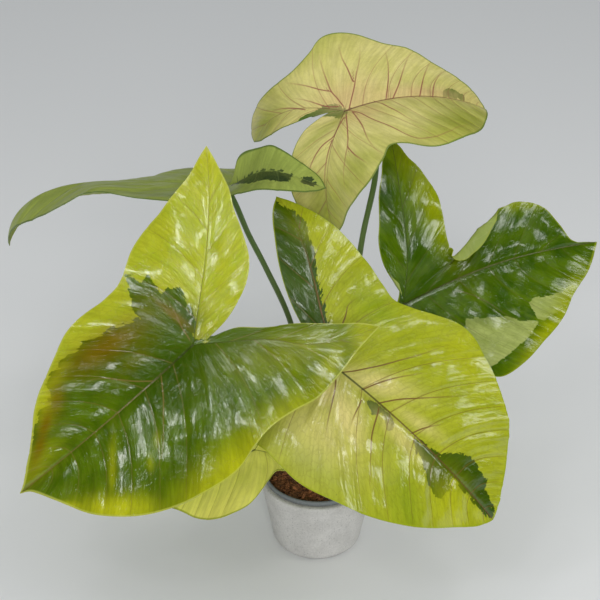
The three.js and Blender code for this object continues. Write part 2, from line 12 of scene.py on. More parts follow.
import bpy
import numpy as np
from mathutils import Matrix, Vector


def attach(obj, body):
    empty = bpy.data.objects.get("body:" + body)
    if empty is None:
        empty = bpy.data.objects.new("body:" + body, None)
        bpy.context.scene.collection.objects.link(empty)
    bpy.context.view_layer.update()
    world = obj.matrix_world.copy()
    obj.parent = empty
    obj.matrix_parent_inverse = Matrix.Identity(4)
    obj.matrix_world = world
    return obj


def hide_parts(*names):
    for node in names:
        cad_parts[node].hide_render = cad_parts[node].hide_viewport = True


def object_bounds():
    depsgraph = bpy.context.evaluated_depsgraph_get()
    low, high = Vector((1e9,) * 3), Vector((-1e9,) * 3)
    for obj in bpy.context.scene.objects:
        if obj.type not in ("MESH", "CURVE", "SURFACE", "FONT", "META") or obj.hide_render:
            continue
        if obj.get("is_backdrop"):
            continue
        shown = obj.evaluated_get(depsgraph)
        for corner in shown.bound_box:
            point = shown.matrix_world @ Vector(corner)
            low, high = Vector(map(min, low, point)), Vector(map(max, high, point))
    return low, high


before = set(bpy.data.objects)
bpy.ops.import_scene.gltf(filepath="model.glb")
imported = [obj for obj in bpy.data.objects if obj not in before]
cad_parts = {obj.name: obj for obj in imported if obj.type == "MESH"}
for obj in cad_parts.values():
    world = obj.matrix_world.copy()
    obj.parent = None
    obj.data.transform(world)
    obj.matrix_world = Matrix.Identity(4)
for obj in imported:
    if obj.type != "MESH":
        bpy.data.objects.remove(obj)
CAD_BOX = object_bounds()

LOG = logging.getLogger("arrowhead")
MM = 0.001
SMALLEST_RADIUS = 0.01
Point = tuple[float, float]
Spot = tuple[float, float, float]
Colour = tuple[int, int, int]


# ---------- shapes shared by the sub-assemblies ----------


def smoothstep(value: np.ndarray, low: float = 0.0, high: float = 1.0) -> np.ndarray:
    """Eases values from 0 at low to 1 at high.

    Args:
        value: The values to ease.
        low: Where the result is still 0.
        high: Where the result has reached 1.

    Returns:
        The eased values.
    """
    share = np.clip((value - low) / (high - low), 0, 1)
    return share * share * (3 - 2 * share)


def evenly(points: np.ndarray, count: int) -> np.ndarray:
    """Spaces a line's points evenly along its length.

    Args:
        points: The line, one point in a row.
        count: How many points to return.

    Returns:
        The evenly spaced points.
    """
    steps = np.linalg.norm(np.diff(points, axis=0), axis=1)
    length = np.concatenate([[0], np.cumsum(steps)])
    wanted = np.linspace(0, length[-1], count)
    return np.stack([np.interp(wanted, length, points[:, k]) for k in range(points.shape[1])], axis=1)


def hermite(start: np.ndarray, end: np.ndarray, leave: np.ndarray, arrive: np.ndarray, t: np.ndarray) -> np.ndarray:
    """Returns the cubic from start to end that leaves and arrives with these tangents, at the shares t."""
    return ((2 * start - 2 * end + leave + arrive) * t ** 3
            + (3 * end - 3 * start - 2 * leave - arrive) * t ** 2 + leave * t + start)


class FlatLine:
    """A smooth line through flat points that can be asked for the spot at a share of its length."""

    STEPS = 24
    SPOTS = 321

    def __init__(self, points: Sequence[Point]) -> None:
        """Runs a uniform Catmull-Rom spline through the points.

        Args:
            points: The knots.
        """
        knots = np.asarray(points, float)
        padded = np.vstack([knots[:1], knots, knots[-1:]])
        t = np.linspace(0, 1, self.STEPS, endpoint=False)[:, None]
        runs = [hermite(b, c, (c - a) / 2, (d - b) / 2, t)
                for a, b, c, d in zip(padded, padded[1:], padded[2:], padded[3:])]
        self.spots = evenly(np.vstack(runs + [knots[-1:]]), self.SPOTS)
        self.shares = np.linspace(0, 1, self.SPOTS)

    def at(self, share: np.ndarray) -> np.ndarray:
        """Returns the spots at shares of the length."""
        return np.stack([np.interp(share, self.shares, self.spots[:, k]) for k in (0, 1)], axis=-1)

    def share_at_x(self, x: np.ndarray) -> np.ndarray:
        """Returns the share of the length at which the line first falls back to x."""
        lowest = np.minimum.accumulate(self.spots[:, 0])
        return np.interp(-x, -lowest, self.shares)


class Drift:
    """Seeded smooth noise over a plane, from -1 to 1."""

    SIDE = 64

    def __init__(self, seed: int) -> None:
        """Fills the table of heights."""
        self.table = np.random.default_rng(seed).uniform(-1, 1, (self.SIDE, self.SIDE))

    def at(self, u: np.ndarray, v: np.ndarray) -> np.ndarray:
        """Reads the noise.

        Args:
            u: First coordinate, one unit for each hill.
            v: Second coordinate, one unit for each hill.

        Returns:
            The heights there.
        """
        i, j = np.floor(u).astype(int), np.floor(v).astype(int)
        a, b = smoothstep(u - i), smoothstep(v - j)
        corner = lambda di, dj: self.table[(i + di) % self.SIDE, (j + dj) % self.SIDE]
        near = corner(0, 0) * (1 - a) + corner(1, 0) * a
        far = corner(0, 1) * (1 - a) + corner(1, 1) * a
        return near * (1 - b) + far * b


def distance_to_lines(points: np.ndarray, lines: Sequence[np.ndarray]) -> np.ndarray:
    """Measures how far points are from the nearest of some flat lines.

    Args:
        points: Flat points, one in a row.
        lines: Polylines of flat points.

    Returns:
        One distance for each point.
    """
    best = np.full(len(points), np.inf)
    for line in lines:
        for a, b in zip(line[:-1], line[1:]):
            run = b - a
            share = np.clip((points - a) @ run / max(float(run @ run), 1e-9), 0, 1)
            best = np.minimum(best, np.linalg.norm(points - (a + share[:, None] * run), axis=1))
    return best


def inside(points: np.ndarray, ring: np.ndarray) -> np.ndarray:
    """Finds the flat points inside a closed ring.

    Args:
        points: Flat points, one in a row.
        ring: The ring, one flat point in a row.

    Returns:
        For each point, whether it lies inside.
    """
    result = np.zeros(len(points), bool)
    for (x0, y0), (x1, y1) in zip(ring, np.roll(ring, -1, axis=0)):
        spans = (y0 > points[:, 1]) != (y1 > points[:, 1])
        with np.errstate(divide="ignore", invalid="ignore"):
            crossing = x0 + (points[:, 1] - y0) * (x1 - x0) / (y1 - y0)
        result ^= spans & (points[:, 0] < crossing)
    return result


def vertex_normals(points: np.ndarray, triangles: np.ndarray) -> np.ndarray:
    """Works out the normals of a triangle mesh.

    Args:
        points: Its points, one in a row.
        triangles: Indices into points.

    Returns:
        The unit normal at each point.
    """
    a, b, c = (points[triangles[:, k]] for k in range(3))
    faces = np.cross(b - a, c - a)
    normals = np.zeros_like(points)
    for k in range(3):
        np.add.at(normals, triangles[:, k], faces)
    return normals / np.maximum(np.linalg.norm(normals, axis=1, keepdims=True), 1e-12)


@dataclass
class MeshParts:
    """Points, triangles and vertex fields that are joined into one mesh."""

    points: list[np.ndarray] = field(default_factory=list)
    triangles: list[np.ndarray] = field(default_factory=list)
    materials: list[np.ndarray] = field(default_factory=list)
    fields: dict[str, list[np.ndarray]] = field(default_factory=dict)
    sharp: Optional[np.ndarray] = None
    count: int = 0

    def cover(self, triangles: np.ndarray, material: int) -> None:
        """Adds triangles between points that are there already."""
        self.triangles.append(triangles)
        self.materials.append(np.full(len(triangles), material))

    def add(self, points: np.ndarray, triangles: np.ndarray, material: int = 0, **fields: np.ndarray) -> None:
        """Adds a set of triangles.

        Args:
            points: Points in millimetres.
            triangles: Indices into points.
            material: The material slot of these triangles.
            fields: One value or vector for each point, by name.
        """
        self.points.append(points)
        self.triangles.append(triangles + self.count)
        self.materials.append(np.full(len(triangles), material))
        for name, values in fields.items():
            self.fields.setdefault(name, []).append(np.asarray(values, float))
        self.count += len(points)

    def make(self, name: str, materials: Sequence[bpy.types.Material]) -> bpy.types.Object:
        """Makes the mesh object, smooth but for its true edges.

        Args:
            name: The piece's name.
            materials: Its materials, in the order of their slots.

        Returns:
            The new object, linked to the scene.
        """
        points = np.vstack(self.points) * MM
        triangles = np.vstack(self.triangles).astype(np.int32)
        mesh = bpy.data.meshes.new(name)
        mesh.vertices.add(len(points))
        mesh.vertices.foreach_set("co", points.astype(np.float32).ravel())
        mesh.loops.add(triangles.size)
        mesh.loops.foreach_set("vertex_index", triangles.ravel())
        mesh.polygons.add(len(triangles))
        mesh.polygons.foreach_set("loop_start", np.arange(0, triangles.size, 3, dtype=np.int32))
        mesh.polygons.foreach_set("material_index", np.concatenate(self.materials).astype(np.int32))
        mesh.update(calc_edges=True)
        mesh.validate()
        for label, runs in self.fields.items():
            values = np.concatenate(runs)
            kind, key = ("FLOAT", "value") if values.ndim == 1 else ("FLOAT_VECTOR", "vector")
            layer = mesh.attributes.new(label, kind, "POINT")
            layer.data.foreach_set(key, values.astype(np.float32).ravel())
        for material in materials:
            mesh.materials.append(material)
        mesh.shade_smooth()
        if self.sharp is not None:
            ends = np.zeros(2 * len(mesh.edges), np.int32)
            mesh.edges.foreach_get("vertices", ends)
            keys = np.sort(ends.reshape(-1, 2), axis=1) @ [len(points), 1]
            wanted = np.sort(self.sharp, axis=1) @ [len(points), 1]
            mesh.attributes.new("sharp_edge", "BOOLEAN", "EDGE").data.foreach_set("value", np.isin(keys, wanted))
        piece = bpy.data.objects.new(name, mesh)
        bpy.context.scene.collection.objects.link(piece)
        return piece


def strip(rings: np.ndarray, closed: bool) -> np.ndarray:
    """Joins neighbouring rows of point indices with triangles.

    Args:
        rings: Indices, one ring in a row.
        closed: Whether each ring's last point meets its first.

    Returns:
        The triangles.
    """
    following = np.roll(rings, -1, axis=1) if closed else rings[:, 1:]
    here = rings if closed else rings[:, :-1]
    a, b, c, d = here[:-1], following[:-1], following[1:], here[1:]
    return np.concatenate([np.stack([a, b, c], -1).reshape(-1, 3), np.stack([a, c, d], -1).reshape(-1, 3)])


def lathe(profile: Sequence[Point], facets: int, step: float) -> tuple[np.ndarray, np.ndarray]:
    """Turns a profile about Z.

    Args:
        profile: Radius and height pairs, from the axis round to the axis.
        facets: How many facets the turned solid has.
        step: The longest stretch left between two rings.

    Returns:
        The points and the triangles.
    """
    line = [np.asarray(profile[0], float)]
    for corner in profile[1:]:
        end = np.asarray(corner, float)
        pieces = max(1, math.ceil(np.linalg.norm(end - line[-1]) / step))
        line += [line[-1] + (end - line[-1]) * k / pieces for k in range(1, pieces)] + [end]
    outline = np.array(line)
    angle = np.linspace(0, 2 * math.pi, facets, endpoint=False)
    radius = np.maximum(outline[:, :1], SMALLEST_RADIUS)
    points = np.stack([radius * np.cos(angle), radius * np.sin(angle),
                       np.repeat(outline[:, 1:], facets, axis=1)], axis=-1).reshape(-1, 3)
    return points, strip(np.arange(len(points)).reshape(-1, facets), True)


def curve_through(points: Sequence[Spot], steps: int) -> np.ndarray:
    """Runs a centripetal Catmull-Rom curve through points in space.

    Args:
        points: The knots.
        steps: How many evenly spaced points to return, less one.

    Returns:
        The curve's points.
    """
    knots = np.asarray(points, float)
    padded = np.vstack([2 * knots[0] - knots[1], knots, 2 * knots[-1] - knots[-2]])
    t = np.linspace(0, 1, 30, endpoint=False)[:, None]
    runs = []
    for a, b, c, d in zip(padded, padded[1:], padded[2:], padded[3:]):
        first, middle, last = (np.linalg.norm(q - p) ** 0.5 for p, q in ((a, b), (b, c), (c, d)))
        leave = ((b - a) / first - (c - a) / (first + middle) + (c - b) / middle) * middle
        arrive = ((c - b) / middle - (d - b) / (middle + last) + (d - c) / last) * middle
        runs.append(hermite(b, c, leave, arrive, t))
    return evenly(np.vstack(runs + [knots[-1:]]), steps + 1)


def rod(path: np.ndarray, radii: np.ndarray, sides: int) -> tuple[np.ndarray, np.ndarray, np.ndarray]:
    """Sweeps a round section along a path, and closes its ends with flat caps.

    Args:
        path: The middle line.
        radii: The radius at each point of the path.
        sides: How many sides the section has.

    Returns:
        The points, the triangles, and for each point its place along the path and its angle.
    """
    tangents = np.gradient(path, axis=0)
    tangents /= np.linalg.norm(tangents, axis=1, keepdims=True)
    normal = np.cross(tangents[0], [0.3, 1, 0.2])
    frames = []
    for tangent in tangents:
        normal = normal - tangent * (normal @ tangent)
        normal /= np.linalg.norm(normal)
        frames.append((normal, np.cross(tangent, normal)))
    angle = np.linspace(0, 2 * math.pi, sides, endpoint=False)
    rings = [centre + radius * (np.cos(angle)[:, None] * n + np.sin(angle)[:, None] * b)
             for centre, radius, (n, b) in zip(path, radii, frames)]
    index = np.arange(len(path) * sides).reshape(-1, sides)
    points = np.vstack(rings + [path[:1], path[-1:]])
    caps = [np.stack([np.full(sides, len(points) - 2), np.roll(index[0], -1), index[0]], -1),
            np.stack([np.full(sides, len(points) - 1), index[-1], np.roll(index[-1], -1)], -1)]
    share = np.concatenate([np.repeat(np.linspace(0, 1, len(path)), sides), [0, 1]])
    turn = np.concatenate([np.tile(angle, len(path)), [0, 0]])
    return points, np.vstack([strip(index, True)] + caps), np.stack([share, turn], -1)


# ---------- node trees ----------


def linear(colour: Colour) -> tuple[float, float, float, float]:
    """Turns a colour of 0 to 255 into the linear one that a shader takes."""
    part = lambda c: c / 12.92 if c <= 0.04045 else ((c + 0.055) / 1.055) ** 2.4
    return (*(part(c / 255) for c in colour), 1.0)


class Board:
    """A node tree with short ways to place and wire its nodes."""

    def __init__(self, tree: bpy.types.NodeTree) -> None:
        """Keeps the tree."""
        self.tree = tree

    def place(self, kind: str, **settings: Any) -> bpy.types.Node:
        """Adds a node.

        Args:
            kind: The node's type.
            settings: Properties to set on it.

        Returns:
            The node.
        """
        node = self.tree.nodes.new(kind)
        for name, value in settings.items():
            setattr(node, name, value)
        return node

    def wire(self, source: Any, target: bpy.types.NodeSocket) -> None:
        """Feeds a socket.

        Args:
            source: Another socket, or a plain value.
            target: The socket that is fed.
        """
        if isinstance(source, bpy.types.NodeSocket):
            self.tree.links.new(source, target)
        else:
            target.default_value = source

    def math(self, operation: str, *values: Any) -> bpy.types.NodeSocket:
        """Works out a number from others.

        Args:
            operation: The Math node's operation.
            values: Sockets or numbers.

        Returns:
            The result.
        """
        node = self.place("ShaderNodeMath", operation=operation)
        for socket, value in zip(node.inputs, values):
            self.wire(value, socket)
        return node.outputs[0]

    def times(self, *values: Any) -> bpy.types.NodeSocket:
        """Returns the product of two sockets or numbers."""
        return self.math("MULTIPLY", *values)

    def plus(self, *values: Any) -> bpy.types.NodeSocket:
        """Returns the sum of two sockets or numbers."""
        return self.math("ADD", *values)

    def minus(self, *values: Any) -> bpy.types.NodeSocket:
        """Returns the first of two sockets or numbers less the second."""
        return self.math("SUBTRACT", *values)

    def ease(self, value: Any, low: Any, high: Any, start: Any = 0.0, end: Any = 1.0) -> bpy.types.NodeSocket:
        """Maps a number smoothly.

        Args:
            value: The number.
            low: Where the result is start.
            high: Where the result is end.
            start: The result up to low.
            end: The result from high on.

        Returns:
            The result.
        """
        node = self.place("ShaderNodeMapRange", interpolation_type="SMOOTHSTEP")
        for socket, source in zip(node.inputs, (value, low, high, start, end)):
            self.wire(source, socket)
        return node.outputs[0]

    def mix(self, factor: Any, first: Any, second: Any, mode: str = "MIX") -> bpy.types.NodeSocket:
        """Mixes two colours.

        Args:
            factor: How much of the second.
            first: The first colour.
            second: The second colour.
            mode: How they are mixed.

        Returns:
            The mixed colour.
        """
        node = self.place("ShaderNodeMix", data_type="RGBA", blend_type=mode)
        self.wire(factor, node.inputs[0])
        self.wire(first, node.inputs[6])
        self.wire(second, node.inputs[7])
        return node.outputs[2]

    def shade(self, colour: Any, value: Any) -> bpy.types.NodeSocket:
        """Makes a colour darker or lighter.

        Args:
            colour: The colour.
            value: What it is multiplied by.

        Returns:
            The shaded colour.
        """
        grey = self.place("ShaderNodeCombineColor")
        for socket in grey.inputs[:3]:
            self.wire(value, socket)
        return self.mix(1.0, colour, grey.outputs[0], "MULTIPLY")

    def split(self, vector: Any) -> tuple[bpy.types.NodeSocket, ...]:
        """Takes a vector apart.

        Args:
            vector: The vector.

        Returns:
            Its three parts.
        """
        node = self.place("ShaderNodeSeparateXYZ")
        self.wire(vector, node.inputs[0])
        return tuple(node.outputs)

    def stretch(self, vector: Any, by: Spot) -> bpy.types.NodeSocket:
        """Multiplies each part of a vector by its own number.

        Args:
            vector: The vector.
            by: The three numbers.

        Returns:
            The stretched vector.
        """
        node = self.place("ShaderNodeVectorMath", operation="MULTIPLY")
        self.wire(vector, node.inputs[0])
        self.wire(by, node.inputs[1])
        return node.outputs[0]

    def noise(self, vector: Any, scale: Any, detail: float = 2.0, roughness: float = 0.5) -> bpy.types.NodeSocket:
        """Returns soft noise from 0 to 1.

        Args:
            vector: Where to read it.
            scale: Its scale.
            detail: How many finer layers it has.
            roughness: How strong those are.

        Returns:
            The noise.
        """
        node = self.place("ShaderNodeTexNoise")
        for name, value in (("Vector", vector), ("Scale", scale), ("Detail", detail), ("Roughness", roughness)):
            self.wire(value, node.inputs[name])
        return node.outputs[0]

    def cells(self, vector: Any, scale: Any, feature: str) -> bpy.types.Node:
        """Adds a Voronoi texture.

        Args:
            vector: Where to read it.
            scale: Its scale.
            feature: What it measures.

        Returns:
            Its node.
        """
        node = self.place("ShaderNodeTexVoronoi", feature=feature)
        self.wire(vector, node.inputs["Vector"])
        self.wire(scale, node.inputs["Scale"])
        return node

    def field(self, name: str) -> bpy.types.Node:
        """Adds a reader of a vertex field and returns its node."""
        return self.place("ShaderNodeAttribute", attribute_name=name)


class Group(Board):
    """A shader node group with named inputs and outputs."""

    def __init__(self, name: str, inputs: dict[str, Any], outputs: dict[str, str]) -> None:
        """Makes the group's sockets.

        Args:
            name: The group's name.
            inputs: Default values by name; a tuple of four is a colour and one of three a vector.
            outputs: Kinds by name, Color or Float.
        """
        super().__init__(bpy.data.node_groups.new(name, "ShaderNodeTree"))
        for label, value in inputs.items():
            size = len(value) if isinstance(value, tuple) else 1
            kind = {1: "NodeSocketFloat", 3: "NodeSocketVector", 4: "NodeSocketColor"}[size]
            socket = self.tree.interface.new_socket(label, in_out="INPUT", socket_type=kind)
            socket.default_value = value
        for label, kind in outputs.items():
            self.tree.interface.new_socket(label, in_out="OUTPUT", socket_type=f"NodeSocket{kind}")
        self.inlet = self.place("NodeGroupInput")
        self.outlet = self.place("NodeGroupOutput")

    def get(self, name: str) -> bpy.types.NodeSocket:
        """Returns an input of the group."""
        return self.inlet.outputs[name]

    def give(self, **values: Any) -> None:
        """Feeds the group's outputs; an underscore in a name stands for a space."""
        for name, value in values.items():
            self.wire(value, self.outlet.inputs[name.replace("_", " ")])


def put_group(board: Board, group: Group, **values: Any) -> bpy.types.Node:
    """Places a group in a material or another group.

    Args:
        board: Where it goes.
        group: The group.
        values: What its inputs get; an underscore in a name stands for a space.

    Returns:
        The group's node.
    """
    node = board.place("ShaderNodeGroup", node_tree=group.tree)
    for name, value in values.items():
        board.wire(value, node.inputs[name.replace("_", " ")])
    return node


def streak_group() -> Group:
    """Builds the noise that runs along a leaf's side veins.

    Returns:
        The group.
    """
    group = Group("Streaks", {"Across": 0.3, "Along": 0.03, "Detail": 2.0}, {"Value": "Float"})
    across, along, _ = group.split(group.field("weave").outputs["Vector"])
    joined = group.place("ShaderNodeCombineXYZ")
    group.wire(group.times(across, group.get("Across")), joined.inputs[0])
    group.wire(group.times(along, group.get("Along")), joined.inputs[1])
    group.give(Value=group.noise(joined.outputs[0], 1.0, group.get("Detail"), 0.55))
    return group


BLOCKS = (0.3, 0.13, 0)
FLECKS = (0.8, 0.8, 0)
FLECK_SHARE = 0.25
BORDER = (-0.35, 0.35)
DOTS = (0.07, 0.07, 0)
DOT_EDGE = (0.05, 0.03)
DOT_RARITY = (0.5, 0.55)
NET_STRETCH = (1.0, 0.6, 0)
NET_WANDER = (0.5, 0.5, 0)
NET_LINE = (0.09, 0.01)
CUSHION = (0.0, 0.3)


def patch_group() -> Group:
    """Builds the mask of dark tissue, with the stepped edge that follows the small veins.

    Returns:
        The group.
    """
    group = Group("Patches", {"Ragged": 2.0, "Specks": 0.0}, {"Mask": "Float"})
    signed = group.field("patch").outputs["Fac"]
    flat = group.field("flat").outputs["Vector"]
    weave = group.field("weave").outputs["Vector"]
    blocks = group.cells(group.stretch(weave, BLOCKS), 1.0, "F1")
    block = group.split(blocks.outputs["Color"])[0]
    small = group.cells(group.stretch(flat, FLECKS), 1.0, "F1")
    fleck = group.split(small.outputs["Color"])[1]
    shift = group.plus(group.minus(block, 0.5), group.times(group.minus(fleck, 0.5), FLECK_SHARE))
    edge = group.plus(signed, group.times(shift, group.get("Ragged")))
    mask = group.ease(edge, *BORDER)
    dots = group.cells(group.stretch(flat, DOTS), 1.0, "F1")
    dot = group.ease(dots.outputs["Distance"], *DOT_EDGE)
    rare = group.ease(group.split(dots.outputs["Color"])[2], *DOT_RARITY)
    speck = group.times(group.times(dot, rare), group.get("Specks"))
    group.give(Mask=group.math("MAXIMUM", mask, speck))
    return group


def vein_group() -> Group:
    """Builds a vein's soft-edged line from a field of distances.

    Returns:
        The group.
    """
    group = Group("Vein", {"Distance": 1.0, "Width": 0.5, "Soft": 0.4}, {"Mask": "Float"})
    outer = group.plus(group.get("Width"), group.get("Soft"))
    group.give(Mask=group.ease(group.get("Distance"), outer, group.get("Width")))
    return group


def net_group() -> Group:
    """Builds the net of the smallest veins and the bumps of tissue between them.

    Returns:
        The group.
    """
    group = Group("Vein net", {"Size": 3.0}, {"Line": "Float", "Cushion": "Float"})
    weave = group.field("weave").outputs["Vector"]
    scaled = group.place("ShaderNodeVectorMath", operation="SCALE")
    group.wire(group.stretch(weave, NET_STRETCH), scaled.inputs[0])
    group.wire(group.math("DIVIDE", 1.0, group.get("Size")), scaled.inputs["Scale"])
    wander = group.place("ShaderNodeTexNoise")
    group.wire(scaled.outputs[0], wander.inputs["Vector"])
    warped = group.place("ShaderNodeVectorMath", operation="MULTIPLY_ADD")
    group.wire(wander.outputs["Color"], warped.inputs[0])
    group.wire(NET_WANDER, warped.inputs[1])
    group.wire(scaled.outputs[0], warped.inputs[2])
    border = group.cells(warped.outputs[0], 1.0, "DISTANCE_TO_EDGE").outputs["Distance"]
    group.give(Line=group.ease(border, *NET_LINE), Cushion=group.ease(border, *CUSHION))
    return group


@dataclass(frozen=True)
class LeafFinish:
    """The colours of one blade's face. Each colour is of 0 to 255."""

    slot: str
    light: Colour
    light_two: Colour
    dark: Colour
    dark_two: Colour
    yellow: Colour
    warm: Colour
    deep: Colour
    vein: Colour
    midrib: Colour
    midrib_foot: Colour
    rim: Colour
    vein_strength: float = 0.6
    net_strength: float = 0.15
    ragged: float = 3.0
    specks: float = 0.0
    mottle: float = 0.5
    gloss: float = 0.11
    coat: float = 0.3
    length: float = 150.0
    bump: float = 0.35
    bump_depth: float = 0.0006
    coat_roughness: float = 0.08


OUTSIDE_TISSUE = ("slot", "coat", "bump", "bump_depth", "coat_roughness")
TISSUE_FIELDS = [entry for entry in fields_of(LeafFinish) if entry.name not in OUTSIDE_TISSUE]


class LeafShaders:
    """The node groups that every leaf material shares, and the materials made with them."""

    WIDE_STREAKS = {"Across": 0.11, "Along": 0.035, "Detail": 3.0}
    NARROW_STREAKS = {"Across": 0.5, "Along": 0.05, "Detail": 3.0}
    SIDE_VEIN = {"Width": 0.1, "Soft": 0.55}
    STRONG_VEIN = {"Width": 0.22, "Soft": 0.5}
    SIDE_VEIN_SHARE = 0.6
    NET_SIZE = 3.4
    STREAK_SHARE = 0.55
    CLOUD_SHARE = 0.45
    MOTTLE_RANGE = (0.38, 0.62)
    STREAK_RANGE = (0.3, 0.7)
    SHADE_RANGE = (0.9, 1.1)
    GLOSS_RANGE = (-0.04, 0.07)
    TINT_UNEVEN = 0.9
    TINT_GAIN = 1.1
    RIB_FOOT_RANGE = (0.05, 0.4)
    RIB_WIDTHS = (0.45, 0.1)
    RIB_END = 0.95
    RIB_SHARE = 0.8
    RIM_RANGE = (1.1, 0.4)
    RIM_SHARE = 0.75
    CUSHION_HEIGHT = 0.35
    STREAK_HEIGHT = 0.9

    def __init__(self) -> None:
        """Builds the groups."""
        self.streaks = streak_group()
        self.patches = patch_group()
        self.vein = vein_group()
        self.net = net_group()
        self.tissue = self.tissue_group()

    def tissue_group(self) -> Group:
        """Builds the tissue: ground colours, patches, tints, veins and rim.

        Returns:
            The group.
        """
        inputs = {entry.name.capitalize().replace("_", " "): (0.5, 0.5, 0.5, 1.0) if entry.type is Colour else 1.0
                  for entry in TISSUE_FIELDS}
        group = Group("Leaf tissue", inputs, {"Color": "Color", "Height": "Float", "Gloss": "Float"})
        flat = group.field("flat").outputs["Vector"]
        lateral, rib, rim = group.split(group.field("lines").outputs["Vector"])
        accent, accent_strength, _ = group.split(group.field("accent").outputs["Vector"])
        yellow, warm, deep = group.split(group.field("tints").outputs["Vector"])
        wide = put_group(group, self.streaks, **self.WIDE_STREAKS).outputs[0]
        narrow = put_group(group, self.streaks, **self.NARROW_STREAKS).outputs[0]
        cloud = group.noise(flat, 0.05, 4.0, 0.6)
        mottled = group.ease(group.plus(group.times(wide, self.STREAK_SHARE), group.times(cloud, self.CLOUD_SHARE)),
                             *self.MOTTLE_RANGE)
        amount = group.times(mottled, group.get("Mottle"))
        light = group.mix(amount, group.get("Light"), group.get("Light two"))
        dark = group.mix(amount, group.get("Dark"), group.get("Dark two"))
        patches = put_group(group, self.patches, Ragged=group.get("Ragged"), Specks=group.get("Specks"))
        ground = group.mix(patches.outputs[0], light, dark)
        uneven = group.times(group.minus(wide, 0.5), self.TINT_UNEVEN)
        for tint, name in ((deep, "Deep"), (yellow, "Yellow"), (warm, "Warm")):
            factor = group.times(tint, group.plus(uneven, 1.0))
            factor = group.math("MINIMUM", group.times(factor, self.TINT_GAIN), 1.0)
            ground = group.mix(factor, ground, group.get(name))
        ground = group.shade(ground, group.ease(narrow, *self.STREAK_RANGE, *self.SHADE_RANGE))
        net = put_group(group, self.net, Size=self.NET_SIZE)
        line = group.times(net.outputs["Line"], group.get("Net strength"))
        ground = group.mix(line, ground, group.mix(0.5, group.get("Dark"), group.get("Vein")))
        side = put_group(group, self.vein, Distance=lateral, **self.SIDE_VEIN)
        side_factor = group.times(side.outputs[0], group.times(group.get("Vein strength"), self.SIDE_VEIN_SHARE))
        ground = group.mix(side_factor, ground, group.get("Vein"))
        strong = put_group(group, self.vein, Distance=group.math("ABSOLUTE", accent), **self.STRONG_VEIN)
        strong_factor = group.times(group.times(strong.outputs[0], accent_strength), group.get("Vein strength"))
        ground = group.mix(strong_factor, ground, group.get("Vein"))
        along, _, _ = group.split(flat)
        place = group.math("DIVIDE", group.math("ABSOLUTE", along), group.get("Length"))
        rib_colour = group.mix(group.ease(place, *self.RIB_FOOT_RANGE), group.get("Midrib foot"), group.get("Midrib"))
        rib_width = group.ease(place, 0.0, self.RIB_END, *self.RIB_WIDTHS)
        middle = put_group(group, self.vein, Distance=rib, Width=rib_width, Soft=0.5)
        ground = group.mix(group.times(middle.outputs[0], self.RIB_SHARE), ground, rib_colour)
        thin = group.times(group.ease(rim, *self.RIM_RANGE), self.RIM_SHARE)
        ground = group.mix(thin, ground, group.get("Rim"))
        cushion = group.times(net.outputs["Cushion"], self.CUSHION_HEIGHT)
        height = group.plus(cushion, group.times(narrow, self.STREAK_HEIGHT))
        gloss = group.plus(group.get("Gloss"), group.ease(narrow, *self.STREAK_RANGE, *self.GLOSS_RANGE))
        group.give(Color=ground, Height=height, Gloss=gloss)
        return group

    def material(self, name: str, finish: LeafFinish) -> bpy.types.Material:
        """Makes one face's material.

        Args:
            name: The material's name.
            finish: Its colours and gloss.

        Returns:
            The material.
        """
        material = bpy.data.materials.new(name)
        material.use_nodes = True
        board = Board(material.node_tree)
        shader = material.node_tree.nodes["Principled BSDF"]
        values = {entry.name.capitalize(): getattr(finish, entry.name) for entry in TISSUE_FIELDS}
        tissue = put_group(board, self.tissue, **{
            title: linear(value) if isinstance(value, tuple) else value for title, value in values.items()})
        bump = board.place("ShaderNodeBump")
        board.wire(tissue.outputs["Height"], bump.inputs["Height"])
        bump.inputs["Strength"].default_value = finish.bump
        bump.inputs["Distance"].default_value = finish.bump_depth
        board.wire(tissue.outputs["Color"], shader.inputs["Base Color"])
        board.wire(tissue.outputs["Gloss"], shader.inputs["Roughness"])
        board.wire(bump.outputs[0], shader.inputs["Normal"])
        shader.inputs["Coat Weight"].default_value = finish.coat
        shader.inputs["Coat Roughness"].default_value = finish.coat_roughness
        return material


# ---------- the leaves ----------


@dataclass(frozen=True)
class Roll:
    """A stretch of margin that is rolled over the blade.

    It runs from start to end along the margin, turns by so many degrees round a rod of that
    radius, and ends in a flap. The row is where the turn starts on the way to the margin, and the
    round part takes the bend's share of what is left.
    """

    start: float
    end: float
    radius: float
    flap: float
    degrees: float
    skew: float = 1.6
    row: float = 0.76
    bend: float = 0.58
    onset: float = 2.5


@dataclass(frozen=True)
class Half:
    """One half of a blade: flat lines, and the angles that bend it."""

    outer: Sequence[Point]
    inner: Sequence[Point]
    rib: Sequence[Point]
    keel: float
    cup: float
    tip_keel: float = 0.0
    lobe_keel: float = 0.0
    arch: float = 0.0
    hood: float = 0.0
    pinch: Optional[Spot] = None
    roll: Optional[Roll] = None


class Ground(Enum):
    """Which tissue a leaf's patches leave between them."""

    LIGHT = -1
    DARK = 1


@dataclass(frozen=True)
class Brush:
    """A soft tint at a flat spot: its size along x and y, its turn in degrees and its strength."""

    x: float
    y: float
    along: float
    across: float
    turn: float = 0.0
    strength: float = 1.0


@dataclass(frozen=True)
class Pattern:
    """Where a blade's dark and light tissue, its tints and its strongest side veins lie."""

    ground: Ground
    patches: Sequence[Sequence[Point]] = ()
    accents: Sequence[Sequence[Point]] = ()
    yellow: Sequence[Brush] = ()
    warm: Sequence[Brush] = ()
    deep: Sequence[Brush] = ()


@dataclass(frozen=True)
class Relief:
    """How strongly a blade's face is modelled, in millimetres."""

    midrib: float = 0.7
    lateral: float = 0.3
    quilt: float = 0.7
    streak: float = 0.2
    swell: float = 1.3
    crease: float = 0.8


